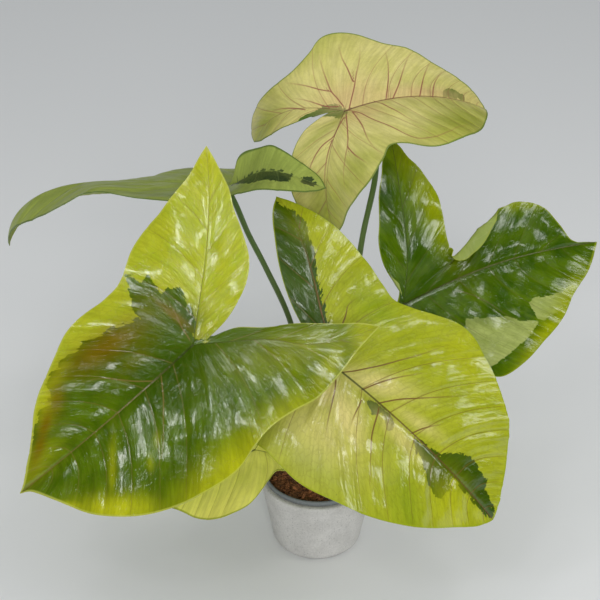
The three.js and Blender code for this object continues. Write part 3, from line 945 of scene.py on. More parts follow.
@dataclass(frozen=True)
class LeafShape:
    """A whole leaf: where its stalk carries it, how it lies, and its two halves."""

    name: str
    stalk_top: Spot
    heading: float
    pitch: float
    roll: float
    length: float
    reach: float
    droop: float
    hang: float
    wave: float
    waves: float
    left: Half
    right: Half
    stalk: Sequence[Spot]
    pattern: Pattern
    upper: LeafFinish
    under: LeafFinish
    relief: Relief = Relief()
    sweep: float = 0.0
    bow: float = 0.0
    hook: float = 0.0
    hook_power: float = 4.0
    seed: int = 1


class BladeSurface:
    """A blade's bent surface, which takes spots of the flat outline to their place in space."""

    PAST_LOBES = 1.3
    PAST_TIP = 1.25
    CUPPED_WIDTH = 75
    ARCHED_WIDTH = 20
    ARCH_END = 1.15

    def __init__(self, shape: LeafShape) -> None:
        """Sets up the blade's own axes and walks along its midrib.

        Args:
            shape: The leaf.
        """
        self.shape = shape
        heading, pitch, roll = np.radians([shape.heading, shape.pitch, shape.roll])
        self.along = np.array([math.cos(pitch) * math.cos(heading), math.cos(pitch) * math.sin(heading),
                               math.sin(pitch)])
        level = np.array([-math.sin(heading), math.cos(heading), 0])
        self.across = level * math.cos(roll) + np.cross(self.along, level) * math.sin(roll)
        self.out = np.cross(self.along, self.across)
        self.line = self.walk_midrib(-self.PAST_LOBES * shape.reach, self.PAST_TIP * shape.length)

    def slope(self, x: np.ndarray) -> np.ndarray:
        """Works out the slope of the midrib.

        Args:
            x: How far the spots lie from the stalk, in millimetres.

        Returns:
            The slopes in radians.
        """
        shape = self.shape
        ahead, behind = np.maximum(x / shape.length, 0), np.maximum(-x / shape.reach, 0)
        return np.radians(-shape.droop * ahead - shape.hook * ahead ** shape.hook_power + shape.hang * behind)

    def walk_midrib(self, start: float, end: float) -> np.ndarray:
        """Walks along the midrib both ways from the stalk.

        Args:
            start: Where the walk past the lobes stops.
            end: Where the walk past the tip stops.

        Returns:
            Rows of x, place along and place out.
        """
        runs = []
        for stop in (start, end):
            steps = math.ceil(abs(stop))
            step = stop / steps
            slope = self.slope((np.arange(steps) + 0.5) * step)
            x = np.arange(steps + 1) * step
            u = np.concatenate([[0], np.cumsum(np.cos(slope) * step)])
            w = np.concatenate([[0], np.cumsum(np.sin(slope) * step)])
            runs.append(np.stack([x, u, w], -1))
        return np.vstack([runs[0][:0:-1], runs[1]])

    def place(self, flat: np.ndarray, lift: Any = 0.0) -> np.ndarray:
        """Bends flat spots.

        Args:
            flat: Flat spots, one in a row.
            lift: How far each is raised off the bent surface.

        Returns:
            Their places in space, in millimetres.
        """
        shape = self.shape
        x, y = flat[:, 0], flat[:, 1]
        ahead = np.clip(x / shape.length, 0, 1)
        behind = np.maximum(-x / shape.reach, 0)
        width = np.abs(y)
        is_left = y >= 0
        pick = lambda name: np.where(is_left, getattr(shape.left, name), getattr(shape.right, name))
        squeeze = np.where(is_left, *(self.squeeze(half, x) for half in (shape.left, shape.right)))
        keel = np.radians(pick("keel") + smoothstep(ahead) * pick("tip_keel")
                          + smoothstep(behind) * pick("lobe_keel") + squeeze)
        turn = np.radians(pick("cup")) / self.CUPPED_WIDTH
        out = (np.sin(keel + turn * width) - np.sin(keel)) / turn
        rise = -(np.cos(keel + turn * width) - np.cos(keel)) / turn
        arch = (pick("arch") * np.sin(math.pi * np.minimum(behind, self.ARCH_END))
                * smoothstep(width / self.ARCHED_WIDTH))
        height = rise + arch + lift
        aside = shape.sweep * ahead ** 2 + shape.bow * np.sin(math.pi * ahead)
        slope = self.slope(x)
        u, w = (np.interp(x, self.line[:, 0], self.line[:, k]) for k in (1, 2))
        return (np.array(shape.stalk_top) + np.outer(u - height * np.sin(slope), self.along)
                + np.outer(np.sign(y) * out + aside, self.across) + np.outer(w + height * np.cos(slope), self.out))

    @staticmethod
    def squeeze(half: Half, x: np.ndarray) -> np.ndarray:
        """Works out how much a half is pinched.

        Args:
            half: The half.
            x: Where along the blade.

        Returns:
            The pinch in degrees.
        """
        if half.pinch is None:
            return np.zeros_like(x)
        at, spread, degrees = half.pinch
        return degrees * np.exp(-((x - at) / spread) ** 2)


@dataclass
class BladeNet:
    """The flat net of a blade, whose lines run along its side veins."""

    shape: LeafShape
    midrib_steps: int = 104
    lobe_steps: int = 66
    rows: int = 44
    inner_rows: int = 18
    rib_power: float = 1.9
    swept: float = 0.38
    swept_power: float = 0.8
    margin_power: float = 0.95
    margin_probe: float = 0.01
    bulge: float = 0.04
    hood_ridge: float = 0.3
    hood_lean: float = 0.3
    hood_front: float = 0.35
    hood_power: float = 0.9
    vein_spread: float = 1.06
    vein_taper: float = 0.75
    edge_scale: float = 0.8
    net_apart: float = 300.0
    laterals: Sequence[float] = (0.92, 0.82, 0.7, 0.57, 0.43, 0.28, 0.12, -0.12, -0.34, -0.56, -0.78)
    inner_laterals: Sequence[float] = (0.2, 0.45, 0.7)
    columns: dict[str, list[np.ndarray]] = field(default_factory=dict)
    triangles: list[np.ndarray] = field(default_factory=list)
    count: int = 0

    JOINED_PER_MM = 500
    PAST_ENDS = 1.2
    NO_VEIN = 9

    def build(self) -> tuple[dict[str, np.ndarray], np.ndarray]:
        """Lays both halves and joins them.

        Returns:
            The fields of the joined spots, and the triangles between them.
        """
        for half, mirrored in ((self.shape.left, False), (self.shape.right, True)):
            self.lay_main(half, mirrored)
            self.lay_inner(half, mirrored)
        fields = {name: np.concatenate(parts) for name, parts in self.columns.items()}
        key = np.round(np.column_stack([fields["flat"], fields["lift"]]) * self.JOINED_PER_MM).astype(np.int64)
        _, first, joined = np.unique(key, axis=0, return_index=True, return_inverse=True)
        triangles = joined.reshape(-1)[np.vstack(self.triangles)]
        a, b, c = triangles.T
        solid = (a != b) & (b != c) & (a != c)
        return {name: values[first] for name, values in fields.items()}, triangles[solid]

    def lay_main(self, half: Half, mirrored: bool) -> None:
        """Lays the net from the midrib and the lobe's vein out to the outer margin.

        Args:
            half: The half that is laid.
            mirrored: Whether it lies on the right.
        """
        shape = self.shape
        outer, rib = FlatLine(half.outer), FlatLine(half.rib)
        x = shape.length * (1 - np.linspace(0, 1, self.midrib_steps + 1))
        share = outer.share_at_x(x + self.swept * shape.length * (1 - x / shape.length) ** self.swept_power)
        share[0] = 0
        u = np.linspace(0, 1, self.lobe_steps + 1)[1:]
        t = u ** self.rib_power
        spine = np.vstack([np.stack([x, 0 * x], -1), rib.at(t)])
        share = np.concatenate([share, share[-1] + (1 - share[-1]) * u ** self.margin_power])
        sigma = np.concatenate([x / shape.length, -t])
        margin = outer.at(share)
        edge = outer.at(share + self.margin_probe) - outer.at(share - self.margin_probe)
        away = np.stack([edge[:, 1], -edge[:, 0]], -1) * np.sign(margin[:, 1:])
        row = np.linspace(0, 1, self.rows + 1)[None, :]
        spots, lift = self.rolled(half.roll, share, spine, margin, away, row)
        if half.roll is None:
            ease = np.concatenate([np.minimum(1, 4 * (1 - x / shape.length)), (1 - t) ** 2])
            spots[..., 0] -= self.bulge * shape.length * ease[:, None] * np.sin(math.pi * row)
        column = share[:, None]
        ridge = np.concatenate([0 * x, self.hood_ridge * half.hood * np.sin(math.pi * t)])[:, None]
        lift = lift + ridge * (1 - row) + (shape.wave * row ** 3 * np.sin(2 * math.pi * shape.waves * column)
                                           * np.sin(math.pi * column))
        self.lay(spots, lift, sigma, row, np.linalg.norm(margin - spine, axis=1), self.laterals, mirrored)

    def lay_inner(self, half: Half, mirrored: bool) -> None:
        """Lays the net from the lobe's vein to the margin that faces the stalk.

        Args:
            half: The half that is laid.
            mirrored: Whether it lies on the right.
        """
        inner, rib = FlatLine(half.inner), FlatLine(half.rib)
        u = np.linspace(0, 1, self.lobe_steps + 1)
        t = u if half.hood else u ** self.rib_power
        spine, margin = rib.at(t), inner.at(1 - u)
        row = np.linspace(0, 1, self.inner_rows + 1)[None, :]
        spots = spine[:, None] * (1 - row[..., None]) + margin[:, None] * row[..., None]
        column = t[:, None]
        dome = np.sin(math.pi * column ** 0.5).clip(0) ** self.hood_power * (1 + self.hood_front * (1 - column) ** 3)
        lift = half.hood * (row * dome + self.hood_ridge * (1 - row) * np.sin(math.pi * column))
        spots[..., 0] += self.hood_lean * half.hood * row * dome * (1 - column) ** 2
        self.lay(spots, lift, t, row, np.linalg.norm(margin - spine, axis=1), self.inner_laterals, not mirrored)

    @staticmethod
    def rolled(roll: Optional[Roll], share: np.ndarray, spine: np.ndarray, margin: np.ndarray,
               away: np.ndarray, row: np.ndarray) -> tuple[np.ndarray, np.ndarray]:
        """Spreads spots between spine and margin, and turns a rolled stretch over as round a rod.

        Args:
            roll: The rolled stretch, if there is one.
            share: Each line's place along the margin.
            spine: Where each line starts.
            margin: Where each line ends.
            away: The way out of the blade, square to its margin.
            row: The shares of the way between them.

        Returns:
            The flat spots and how far each is lifted.
        """
        if roll is None:
            return spine[:, None] * (1 - row[..., None]) + margin[:, None] * row[..., None], 0 * share[:, None] * row
        place = ((share - roll.start) / (roll.end - roll.start)).clip(0, 1)
        window = np.sin(math.pi * place ** roll.skew).clip(0)[:, None]
        flat_row = (row * (1 - window) + np.minimum(row / roll.row, 1) * window)[..., None]
        past = np.maximum(0, (row - roll.row) / (1 - roll.row)) * (window > 0)
        turn = math.radians(roll.degrees) * np.minimum(1, roll.onset * window)
        angle = turn * np.minimum(1, past / roll.bend)
        flap = roll.flap * window * np.maximum(0, (past - roll.bend) / (1 - roll.bend))
        away = away / np.maximum(np.linalg.norm(away, axis=1, keepdims=True), 1e-6)
        out = roll.radius * np.sin(angle) + flap * np.cos(turn)
        spots = spine[:, None] * (1 - flat_row) + margin[:, None] * flat_row + away[:, None] * out[..., None]
        return spots, roll.radius * (1 - np.cos(angle)) + flap * np.sin(turn)

    def lay(self, spots: np.ndarray, lift: np.ndarray, sigma: np.ndarray, row: np.ndarray,
            reach: np.ndarray, laterals: Sequence[float], flip: bool) -> None:
        """Adds one net of spots with its fields and triangles.

        Args:
            spots: Flat spots, lines by rows.
            lift: How far each is raised.
            sigma: Each line's place along the spine.
            row: The shares of the way to the margin.
            reach: Each line's length.
            laterals: The places along the spine where side veins leave.
            flip: Whether the triangles turn the other way.
        """
        lines, rows = spots.shape[:2]
        ahead, out = np.gradient(spots, axis=0), np.gradient(spots, axis=1)
        crossing = np.abs(ahead[..., 0] * out[..., 1] - ahead[..., 1] * out[..., 0])
        gap = crossing / np.maximum(np.linalg.norm(out, axis=-1), 1e-6)
        scale = gap / np.maximum(np.abs(np.gradient(sigma)), 1e-6)[:, None]
        veins = sorted({float(sigma[np.abs(sigma - mark).argmin()]) for mark in laterals})
        marks = np.array([-self.PAST_ENDS, *veins, self.PAST_ENDS])
        above = np.clip(np.searchsorted(marks, sigma), 1, len(marks) - 1)
        low, high = marks[above - 1], marks[above]
        nearest = np.minimum(sigma - low + self.NO_VEIN * (low < -1), high - sigma + self.NO_VEIN * (high > 1))
        lateral = nearest[:, None] * scale / (self.vein_spread - self.vein_taper * row)
        quilt = np.sin(math.pi * (sigma - low) / (high - low))[:, None] * np.ones_like(row)
        walked = np.cumsum(gap[:, rows * 3 // 5]) + self.net_apart * len(self.columns.get("flat", ()))
        across = np.repeat(walked[:, None], rows, axis=1)
        down = row * reach[:, None]
        values = {"flat": spots.reshape(-1, 2), "lift": lift.reshape(-1), "lateral": lateral.reshape(-1),
                  "quilt": quilt.reshape(-1), "weave": np.stack([across, down], -1).reshape(-1, 2),
                  "edge": ((1 - row) * reach[:, None] * self.edge_scale).reshape(-1)}
        for name, value in values.items():
            self.columns.setdefault(name, []).append(value)
        index = np.arange(lines * rows).reshape(lines, rows) + self.count
        triangles = strip(index, False)
        self.triangles.append(triangles[:, ::-1] if flip else triangles)
        self.count += lines * rows


@dataclass
class Leaf:
    """One leaf: its blade with two faces and a rim, its ribs beneath and its stalk."""

    shape: LeafShape
    shaders: LeafShaders
    stalk_material: bpy.types.Material
    thickness: float = 0.6
    stalk_foot_height: float = 40.35
    collar_height: float = 52.0
    stalk_foot_radius: float = 3.2
    stalk_top_radius: float = 2.1
    sheath: float = 34.0
    knuckle: float = 2.3
    knuckle_swell: float = 0.55
    knuckle_length: float = 5.0
    stalk_waver: float = 0.06
    stalk_waver_length: float = 9.0
    stalk_steps: int = 140
    stalk_sides: int = 20
    rib_sides: int = 10
    midrib_radii: Point = (1.6, 0.35)
    lobe_rib_radii: Point = (1.15, 0.3)

    STREAK_LAYERS = ((1, 1.2, 3.4, 26), (2, 0.8, 2.1, 15), (3, 1.3, 7.5, 34))
    SWELL_LAYERS = ((4, 1, 27), (5, 0.35, 11))
    FAR = 40.0
    ACCENT_STEPS = 24
    ACCENT_STRENGTH = 1.5
    ACCENT_REACH = (3.2, 2.0)
    KNUCKLE_GAP = 0.15
    RIB_SINK = 0.3
    RIB_SUNK_SHARE = 0.8
    RIB_ENDS = (0.93, 0.8)
    LOBE_RIB_SCALE = 1.8
    LOBE_RIB_APART = 0.3

    def build(self) -> list[bpy.types.Object]:
        """Builds the blade and the stalk, and hangs them on the frame.

        Returns:
            Its pieces.
        """
        surface = BladeSurface(self.shape)
        blade, stalk = self.make_blade(surface), self.make_stalk(surface)
        for piece in (blade, stalk):
            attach(piece, "root")
            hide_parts(self.shape.name)
        return [blade, stalk]

    def make_blade(self, surface: BladeSurface) -> bpy.types.Object:
        """Makes the blade as two faces with the same relief, and the rim between them.

        Args:
            surface: The bent surface of this blade.

        Returns:
            The blade.
        """
        fields, triangles = BladeNet(self.shape).build()
        flat = fields["flat"]
        middle = surface.place(flat, fields["lift"])
        main = distance_to_lines(flat, [np.array([[0.0, 0.0], [self.shape.length, 0.0]])])
        lobes = distance_to_lines(flat, [FlatLine(half.rib).at(np.linspace(0, 1, 41))
                                         for half in (self.shape.left, self.shape.right)])
        middle = middle + vertex_normals(middle, triangles) * self.relief(fields, main, lobes)[:, None]
        normals = vertex_normals(middle, triangles) * self.thickness / 2
        count = len(flat)
        edges = np.vstack([triangles[:, [0, 1]], triangles[:, [1, 2]], triangles[:, [2, 0]]])
        forward, backward = edges @ [count, 1], edges @ [1, count]
        open_edges = edges[~np.isin(forward, backward)]
        p, q = open_edges.T
        rim = np.vstack([np.stack([q, p, p + count], -1), np.stack([q, p + count, q + count], -1)])
        ribs = np.minimum(main, self.LOBE_RIB_APART + self.LOBE_RIB_SCALE * lobes)
        shade = {"flat": np.column_stack([flat, 0 * main]),
                 "weave": np.column_stack([fields["weave"], 0 * main]),
                 "lines": np.column_stack([fields["lateral"], ribs, fields["edge"]]),
                 "patch": self.patch_field(flat),
                 "accent": self.accent_field(flat),
                 "tints": self.tint_field(flat)}
        doubled = {name: np.concatenate([values, values]) for name, values in shade.items()}
        parts = MeshParts(sharp=np.vstack([open_edges, open_edges + count]))
        parts.add(np.vstack([middle + normals, middle - normals]), triangles, 0, **doubled)
        parts.cover(triangles[:, ::-1] + count, 1)
        parts.cover(rim, 0)
        return parts.make(f"{self.shape.name}_blade", [
            self.shaders.material(f"{self.shape.name}_upper", self.shape.upper),
            self.shaders.material(f"{self.shape.name}_under", self.shape.under)])

    def relief(self, fields: dict[str, np.ndarray], main: np.ndarray, lobes: np.ndarray) -> np.ndarray:
        """Works out how far each spot of the blade is raised.

        Args:
            fields: The net's fields.
            main: Each spot's distance from the midrib.
            lobes: Each spot's distance from the nearer lobe's vein.

        Returns:
            Heights in millimetres.
        """
        relief = self.shape.relief
        drift = lambda turn, u, v: Drift(self.shape.seed + turn).at(u, v)
        rib = np.minimum(main, lobes)
        across, down = fields["weave"].T
        x, y = fields["flat"].T
        from_rib, from_edge = smoothstep(rib, 0.5, 9), smoothstep(fields["edge"], 0, 8)
        uneven = 1 + 0.5 * drift(0, across / 19, down / 30)
        cushion = relief.quilt * fields["quilt"] * uneven * from_rib * (0.25 + 0.75 * from_edge)
        streaks = relief.streak * smoothstep(rib, 0.5, 6) * (0.4 + 0.6 * from_edge) * sum(
            strength * drift(turn, across / wide, down / long)
            for turn, strength, wide, long in self.STREAK_LAYERS)
        swell = relief.swell * from_rib * sum(strength * drift(turn, x / size + 9, y / size + 9)
                                              for turn, strength, size in self.SWELL_LAYERS)
        fold = 0.5 - np.minimum(2.2 * np.abs(drift(6, across / 10, down / 60)), 1)
        crease = relief.crease * smoothstep(rib, 1, 12) * fold * (0.6 + 0.4 * drift(7, across / 20, down / 20))
        grooves = (relief.midrib * np.maximum(np.exp(-(main / 1.5) ** 2), 0.45 * np.exp(-(lobes / 2.2) ** 2))
                   + relief.lateral * np.exp(-(fields["lateral"] / 1.1) ** 2) * from_rib)
        return cushion + streaks + swell + crease - grooves

    def patch_field(self, flat: np.ndarray) -> np.ndarray:
        """Measures how far each spot lies from the border of the dark tissue.

        Args:
            flat: Flat spots, one in a row.

        Returns:
            The distances, positive on the dark side.
        """
        pattern = self.shape.pattern
        best = np.full(len(flat), -self.FAR)
        for patch in pattern.patches:
            ring = np.asarray(patch, float)
            away = distance_to_lines(flat, [np.vstack([ring, ring[:1]])])
            best = np.maximum(best, np.where(inside(flat, ring), away, -away))
        return best if pattern.ground is Ground.LIGHT else -best

    def accent_field(self, flat: np.ndarray) -> np.ndarray:
        """Measures how far each spot lies beside the nearest strong side vein.

        Args:
            flat: Flat spots, one in a row.

        Returns:
            Rows of the distance, which is negative on one side, the strength of that vein there, and 0.
        """
        away, strength = np.full(len(flat), self.FAR / 2), np.zeros(len(flat))
        for accent in self.shape.pattern.accents:
            line = FlatLine(accent).at(np.linspace(0, 1, self.ACCENT_STEPS + 1))
            for k, (a, b) in enumerate(zip(line[:-1], line[1:])):
                run = b - a
                length = float(np.linalg.norm(run))
                share = np.clip((flat - a) @ run / length ** 2, 0, 1)
                gap = np.linalg.norm(flat - a - share[:, None] * run, axis=1)
                side = (run[0] * (flat[:, 1] - a[1]) - run[1] * (flat[:, 0] - a[0])) / length
                here = self.ACCENT_STRENGTH * (1 - (k + share) / self.ACCENT_STEPS)
                closer = gap < np.abs(away)
                away = np.where(closer, np.sign(side) * gap, away)
                strength = np.where(closer, np.minimum(here, 1) * smoothstep(gap, *self.ACCENT_REACH), strength)
        return np.column_stack([away, strength, 0 * away])

    def tint_field(self, flat: np.ndarray) -> np.ndarray:
        """Works out how strong the yellow, warm and deep tints are.

        Args:
            flat: Flat spots, one in a row.

        Returns:
            Rows of the three strengths.
        """
        columns, pattern = [], self.shape.pattern
        for brushes in (pattern.yellow, pattern.warm, pattern.deep):
            value = np.zeros(len(flat))
            for brush in brushes:
                turn = math.radians(brush.turn)
                dx, dy = flat[:, 0] - brush.x, flat[:, 1] - brush.y
                u = (dx * math.cos(turn) + dy * math.sin(turn)) / brush.along
                v = (dy * math.cos(turn) - dx * math.sin(turn)) / brush.across
                value = np.maximum(value, brush.strength * np.exp(-(u * u + v * v)))
            columns.append(value)
        return np.stack(columns, -1)

    def make_stalk(self, surface: BladeSurface) -> bpy.types.Object:
        """Makes the stalk, its sheathed foot, the knuckle and the ribs under the blade.

        Args:
            surface: The bent surface of this blade.

        Returns:
            The stalk.
        """
        shape = self.shape
        groove = shape.relief.midrib
        knee = surface.place(np.array([[0.0, 0.0]]), -self.knuckle - self.KNUCKLE_GAP - groove)[0]
        first = shape.stalk[0]
        route = [(first[0], first[1], self.stalk_foot_height), (first[0], first[1], self.collar_height),
                 *shape.stalk, tuple(knee)]
        path = curve_through(route, self.stalk_steps)
        length = float(np.linalg.norm(np.diff(path, axis=0), axis=1).sum())
        along = np.linspace(0, length, len(path))
        radius = self.stalk_top_radius + (self.stalk_foot_radius - self.stalk_top_radius) * np.clip(
            1 - along / self.sheath, 0, 1)
        radius = radius + self.knuckle_swell * np.exp(-((length - along) / self.knuckle_length) ** 2)
        radius = radius + self.stalk_waver * Drift(shape.seed).at(along / self.stalk_waver_length, along * 0)
        parts = MeshParts()
        points, triangles, place = rod(path, radius, self.stalk_sides)
        parts.add(points, triangles, 0, along=place[:, 0], turn=place[:, 1])
        for spots, radii in self.under_ribs():
            thick = np.linspace(*radii, len(spots))
            lift = -groove * 1.1 - self.RIB_SINK - self.RIB_SUNK_SHARE * thick
            centre = np.vstack([surface.place(spot[None, :], drop) for spot, drop in zip(spots, lift)])
            points, triangles, place = rod(centre, thick, self.rib_sides)
            parts.add(points, triangles, 0, along=0 * place[:, 0] + 1, turn=place[:, 1])
        return parts.make(f"{shape.name}_stalk", [self.stalk_material])

    def under_ribs(self) -> list[tuple[np.ndarray, Point]]:
        """Lays out the ribs under the blade.

        Returns:
            Flat lines, each with the radii at its two ends.
        """
        shape = self.shape
        main_end, lobe_end = self.RIB_ENDS
        x = np.linspace(0, main_end * shape.length, 60)
        lobes = [FlatLine(half.rib).at(np.linspace(0.0, lobe_end, 40)) for half in (shape.left, shape.right)]
        return [(np.stack([x, 0 * x], -1), self.midrib_radii), *((lobe, self.lobe_rib_radii) for lobe in lobes)]


# ---------- the pots, the soil and the stem ----------


@dataclass(frozen=True)
class MineralFinish:
    """A matte body with fine grain: two ground colours and dark specks, each of 0 to 255."""

    ground: Colour
    second: Colour
    speck: Colour
    roughness: float
    roughness_spread: float = 0.08
    grain: float = 1.0
    speck_share: float = 0.55
    speck_depth: float = 0.6
    bump: float = 0.5
    bump_depth: float = 0.0004


@dataclass(frozen=True)
class PlasticFinish:
    """A moulded plastic with faint scuffs."""

    colour: Colour
    scuff: Colour
    roughness: float
    smoother: float = 0.06
    rougher: float = 0.12
    grain: float = 1.6
    scuff_share: float = 0.5
    bump: float = 0.15
    bump_depth: float = 0.0003


@dataclass(frozen=True)
class StalkFinish:
    """A stalk: the colours of its foot, of its end under the blade, and of its fine streaks."""

    low: Colour
    high: Colour
    streak: Colour
    streak_length: float = 1.6
    streak_share: float = 0.6
    roughness: Point = (0.34, 0.5)
    coat: float = 0.15
    bump: float = 0.25
    bump_depth: float = 0.0005


@dataclass(frozen=True)
class SoilFinish:
    """A potting mix: the damp ground, the drier crumbs, and the coir and bark."""

    dark: Colour
    brown: Colour
    rust: Colour
    grain: float = 1.1
    shades: Point = (0.6, 1.25)
    roughness: Point = (0.8, 0.95)
    bump: float = 0.7
    bump_depth: float = 0.0008


def grain_group() -> Group:
    """Builds fine grain and specks for mineral bodies and the scuffs of plastic.

    Returns:
        The group.
    """
    group = Group("Grain", {"Vector": (0.0, 0.0, 0.0), "Size": 1.0},
                  {"Soft": "Float", "Fine": "Float", "Speck": "Float"})
    scaled = group.place("ShaderNodeVectorMath", operation="SCALE")
    group.wire(group.get("Vector"), scaled.inputs[0])
    group.wire(group.math("DIVIDE", 1000.0, group.get("Size")), scaled.inputs["Scale"])
    at = scaled.outputs[0]
    soft = group.noise(at, 0.06, 5.0, 0.6)
    fine = group.noise(at, 0.7, 4.0, 0.7)
    dots = group.cells(at, 0.55, "F1")
    speck = group.times(group.ease(dots.outputs["Distance"], 0.32, 0.2),
                        group.ease(group.split(dots.outputs["Color"])[0], 0.62, 0.7))
    group.give(Soft=soft, Fine=fine, Speck=speck)
    return group


class BodyShaders:
    """Materials of the pots, the soil, the stem and the stalks."""

    MIDDLE = (0.3, 0.7)

    def __init__(self) -> None:
        """Builds the shared grain."""
        self.grain = grain_group()

    @staticmethod
    def start(name: str) -> tuple[bpy.types.Material, Board, bpy.types.Node]:
        """Starts a material.

        Args:
            name: The material's name.

        Returns:
            The material, its board and its shader.
        """
        material = bpy.data.materials.new(name)
        material.use_nodes = True
        return material, Board(material.node_tree), material.node_tree.nodes["Principled BSDF"]

    def grained(self, board: Board, size: float) -> bpy.types.Node:
        """Places the grain, read in the object's own coordinates."""
        coordinates = board.place("ShaderNodeTexCoord")
        return put_group(board, self.grain, Vector=coordinates.outputs["Object"], Size=size)

    @staticmethod
    def bump(board: Board, shader: bpy.types.Node, height: Any, finish: Any) -> None:
        """Feeds the shader's normal from a height.

        Args:
            board: The material's board.
            shader: Its shader.
            height: The height.
            finish: The finish that says how strong and how deep the bumps are.
        """
        node = board.place("ShaderNodeBump")
        board.wire(height, node.inputs["Height"])
        node.inputs["Strength"].default_value = finish.bump
        node.inputs["Distance"].default_value = finish.bump_depth
        board.wire(node.outputs[0], shader.inputs["Normal"])

    def mineral(self, name: str, finish: MineralFinish) -> bpy.types.Material:
        """Makes a matte mineral material.

        Args:
            name: The material's name.
            finish: Its colours and grain.

        Returns:
            The material.
        """
        material, board, shader = self.start(name)
        grain = self.grained(board, finish.grain)
        soft = board.ease(grain.outputs["Soft"], 0.35, 0.65)
        ground = board.mix(soft, linear(finish.ground), linear(finish.second))
        fine = board.ease(grain.outputs["Fine"], *self.MIDDLE, 0.9, 1.08)
        ground = board.shade(ground, fine)
        ground = board.mix(board.times(grain.outputs["Speck"], finish.speck_share), ground, linear(finish.speck))
        board.wire(ground, shader.inputs["Base Color"])
        board.wire(board.ease(grain.outputs["Fine"], *self.MIDDLE, finish.roughness - finish.roughness_spread,
                              finish.roughness + finish.roughness_spread), shader.inputs["Roughness"])
        height = board.minus(grain.outputs["Fine"], board.times(grain.outputs["Speck"], finish.speck_depth))
        self.bump(board, shader, height, finish)
        return material

    def plastic(self, name: str, finish: PlasticFinish) -> bpy.types.Material:
        """Makes a moulded plastic.

        Args:
            name: The material's name.
            finish: Its colours and gloss.

        Returns:
            The material.
        """
        material, board, shader = self.start(name)
        grain = self.grained(board, finish.grain)
        scuff = board.ease(grain.outputs["Fine"], 0.55, 0.8)
        board.wire(board.mix(board.times(scuff, finish.scuff_share), linear(finish.colour), linear(finish.scuff)),
                   shader.inputs["Base Color"])
        board.wire(board.ease(grain.outputs["Soft"], *self.MIDDLE, finish.roughness - finish.smoother,
                              finish.roughness + finish.rougher), shader.inputs["Roughness"])
        self.bump(board, shader, grain.outputs["Fine"], finish)
        return material

    def stalk(self, name: str, finish: StalkFinish) -> bpy.types.Material:
        """Makes a stalk's material, with fine lengthwise streaks.

        Args:
            name: The material's name.
            finish: Its colours and gloss.

        Returns:
            The material.
        """
        material, board, shader = self.start(name)
        along = board.field("along").outputs["Fac"]
        turn = board.field("turn").outputs["Fac"]
        joined = board.place("ShaderNodeCombineXYZ")
        board.wire(board.math("SINE", turn), joined.inputs[0])
        board.wire(board.math("COSINE", turn), joined.inputs[1])
        board.wire(board.times(along, finish.streak_length), joined.inputs[2])
        streaks = board.noise(joined.outputs[0], 5.0, 4.0, 0.65)
        ground = board.mix(board.ease(along, 0.0, 1.0), linear(finish.low), linear(finish.high))
        seen = board.times(board.ease(streaks, 0.42, 0.68), finish.streak_share)
        ground = board.mix(seen, ground, linear(finish.streak))
        board.wire(ground, shader.inputs["Base Color"])
        board.wire(board.ease(streaks, *self.MIDDLE, *finish.roughness), shader.inputs["Roughness"])
        shader.inputs["Coat Weight"].default_value = finish.coat
        self.bump(board, shader, streaks, finish)
        return material

    def soil(self, name: str, finish: SoilFinish) -> bpy.types.Material:
        """Makes the potting mix, whose crumbs and fibres have their own tones.

        Args:
            name: The material's name.
            finish: Its colours and grain.

        Returns:
            The material.
        """
        material, board, shader = self.start(name)
        grain = self.grained(board, finish.grain)
        tone = board.field("tone").outputs["Fac"]
        ground = board.mix(board.ease(grain.outputs["Fine"], 0.35, 0.65), linear(finish.dark), linear(finish.brown))
        ground = board.mix(board.ease(tone, 0.3, 1.0), ground, linear(finish.rust))
        shade = board.ease(grain.outputs["Fine"], 0.3, 0.75, *finish.shades)
        ground = board.shade(ground, shade)
        board.wire(ground, shader.inputs["Base Color"])
        board.wire(board.ease(grain.outputs["Soft"], *self.MIDDLE, *finish.roughness), shader.inputs["Roughness"])
        self.bump(board, shader, grain.outputs["Fine"], finish)
        return material


@dataclass
class Cachepot:
    """The small turned ceramic pot."""

    material: bpy.types.Material
    base_radius: float = 34.0
    base_fillet: float = 6.0
    rim_radius: float = 43.0
    height: float = 57.5
    wall: float = 4.5
    floor: float = 5.0
    rim_round: float = 1.6
    mouth_round: float = 0.8
    waver: float = 0.12
    waver_turns: float = 3.0
    waver_height: float = 8.0
    seed: int = 5
    facets: int = 144
    longest_step: float = 2.0

    def build(self) -> list[bpy.types.Object]:
        """Turns the pot and gives its wall the slight unevenness of fired clay.

        Returns:
            Its pieces.
        """
        foot = [(self.base_radius - self.base_fillet * (1 - math.sin(a)), self.base_fillet * (1 - math.cos(a)))
                for a in np.linspace(0, math.pi / 2, 9)]
        lip = [(self.rim_radius - self.rim_round * (1 - math.cos(a)),
                self.height - self.rim_round * (1 - math.sin(a))) for a in np.linspace(0, math.pi / 2, 6)]
        inner, low = self.rim_radius - self.wall, self.base_radius - self.wall
        profile = [(0.0, 0.0), *foot, *lip, (inner + self.mouth_round, self.height),
                   (inner + 0.2, self.height - 0.25), (inner, self.height - self.mouth_round),
                   (low + 1, self.floor + self.base_fillet), (low - 1.2, self.floor + 1.4),
                   (low - 3, self.floor), (0.0, self.floor)]
        points, triangles = lathe(profile, self.facets, self.longest_step)
        angle = np.arctan2(points[:, 1], points[:, 0])
        radial = np.linalg.norm(points[:, :2], axis=1)
        waver = self.waver * Drift(self.seed).at(angle * self.waver_turns + 30, points[:, 2] / self.waver_height)
        waver = waver * smoothstep(radial, 20, 30)
        points[:, :2] *= (1 - np.abs(waver) / np.maximum(radial, 1))[:, None]
        parts = MeshParts()
        parts.add(points, triangles)
        piece = parts.make("cachepot_body", [self.material])
        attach(piece, "root")
        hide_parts("cachepot")
        return [piece]


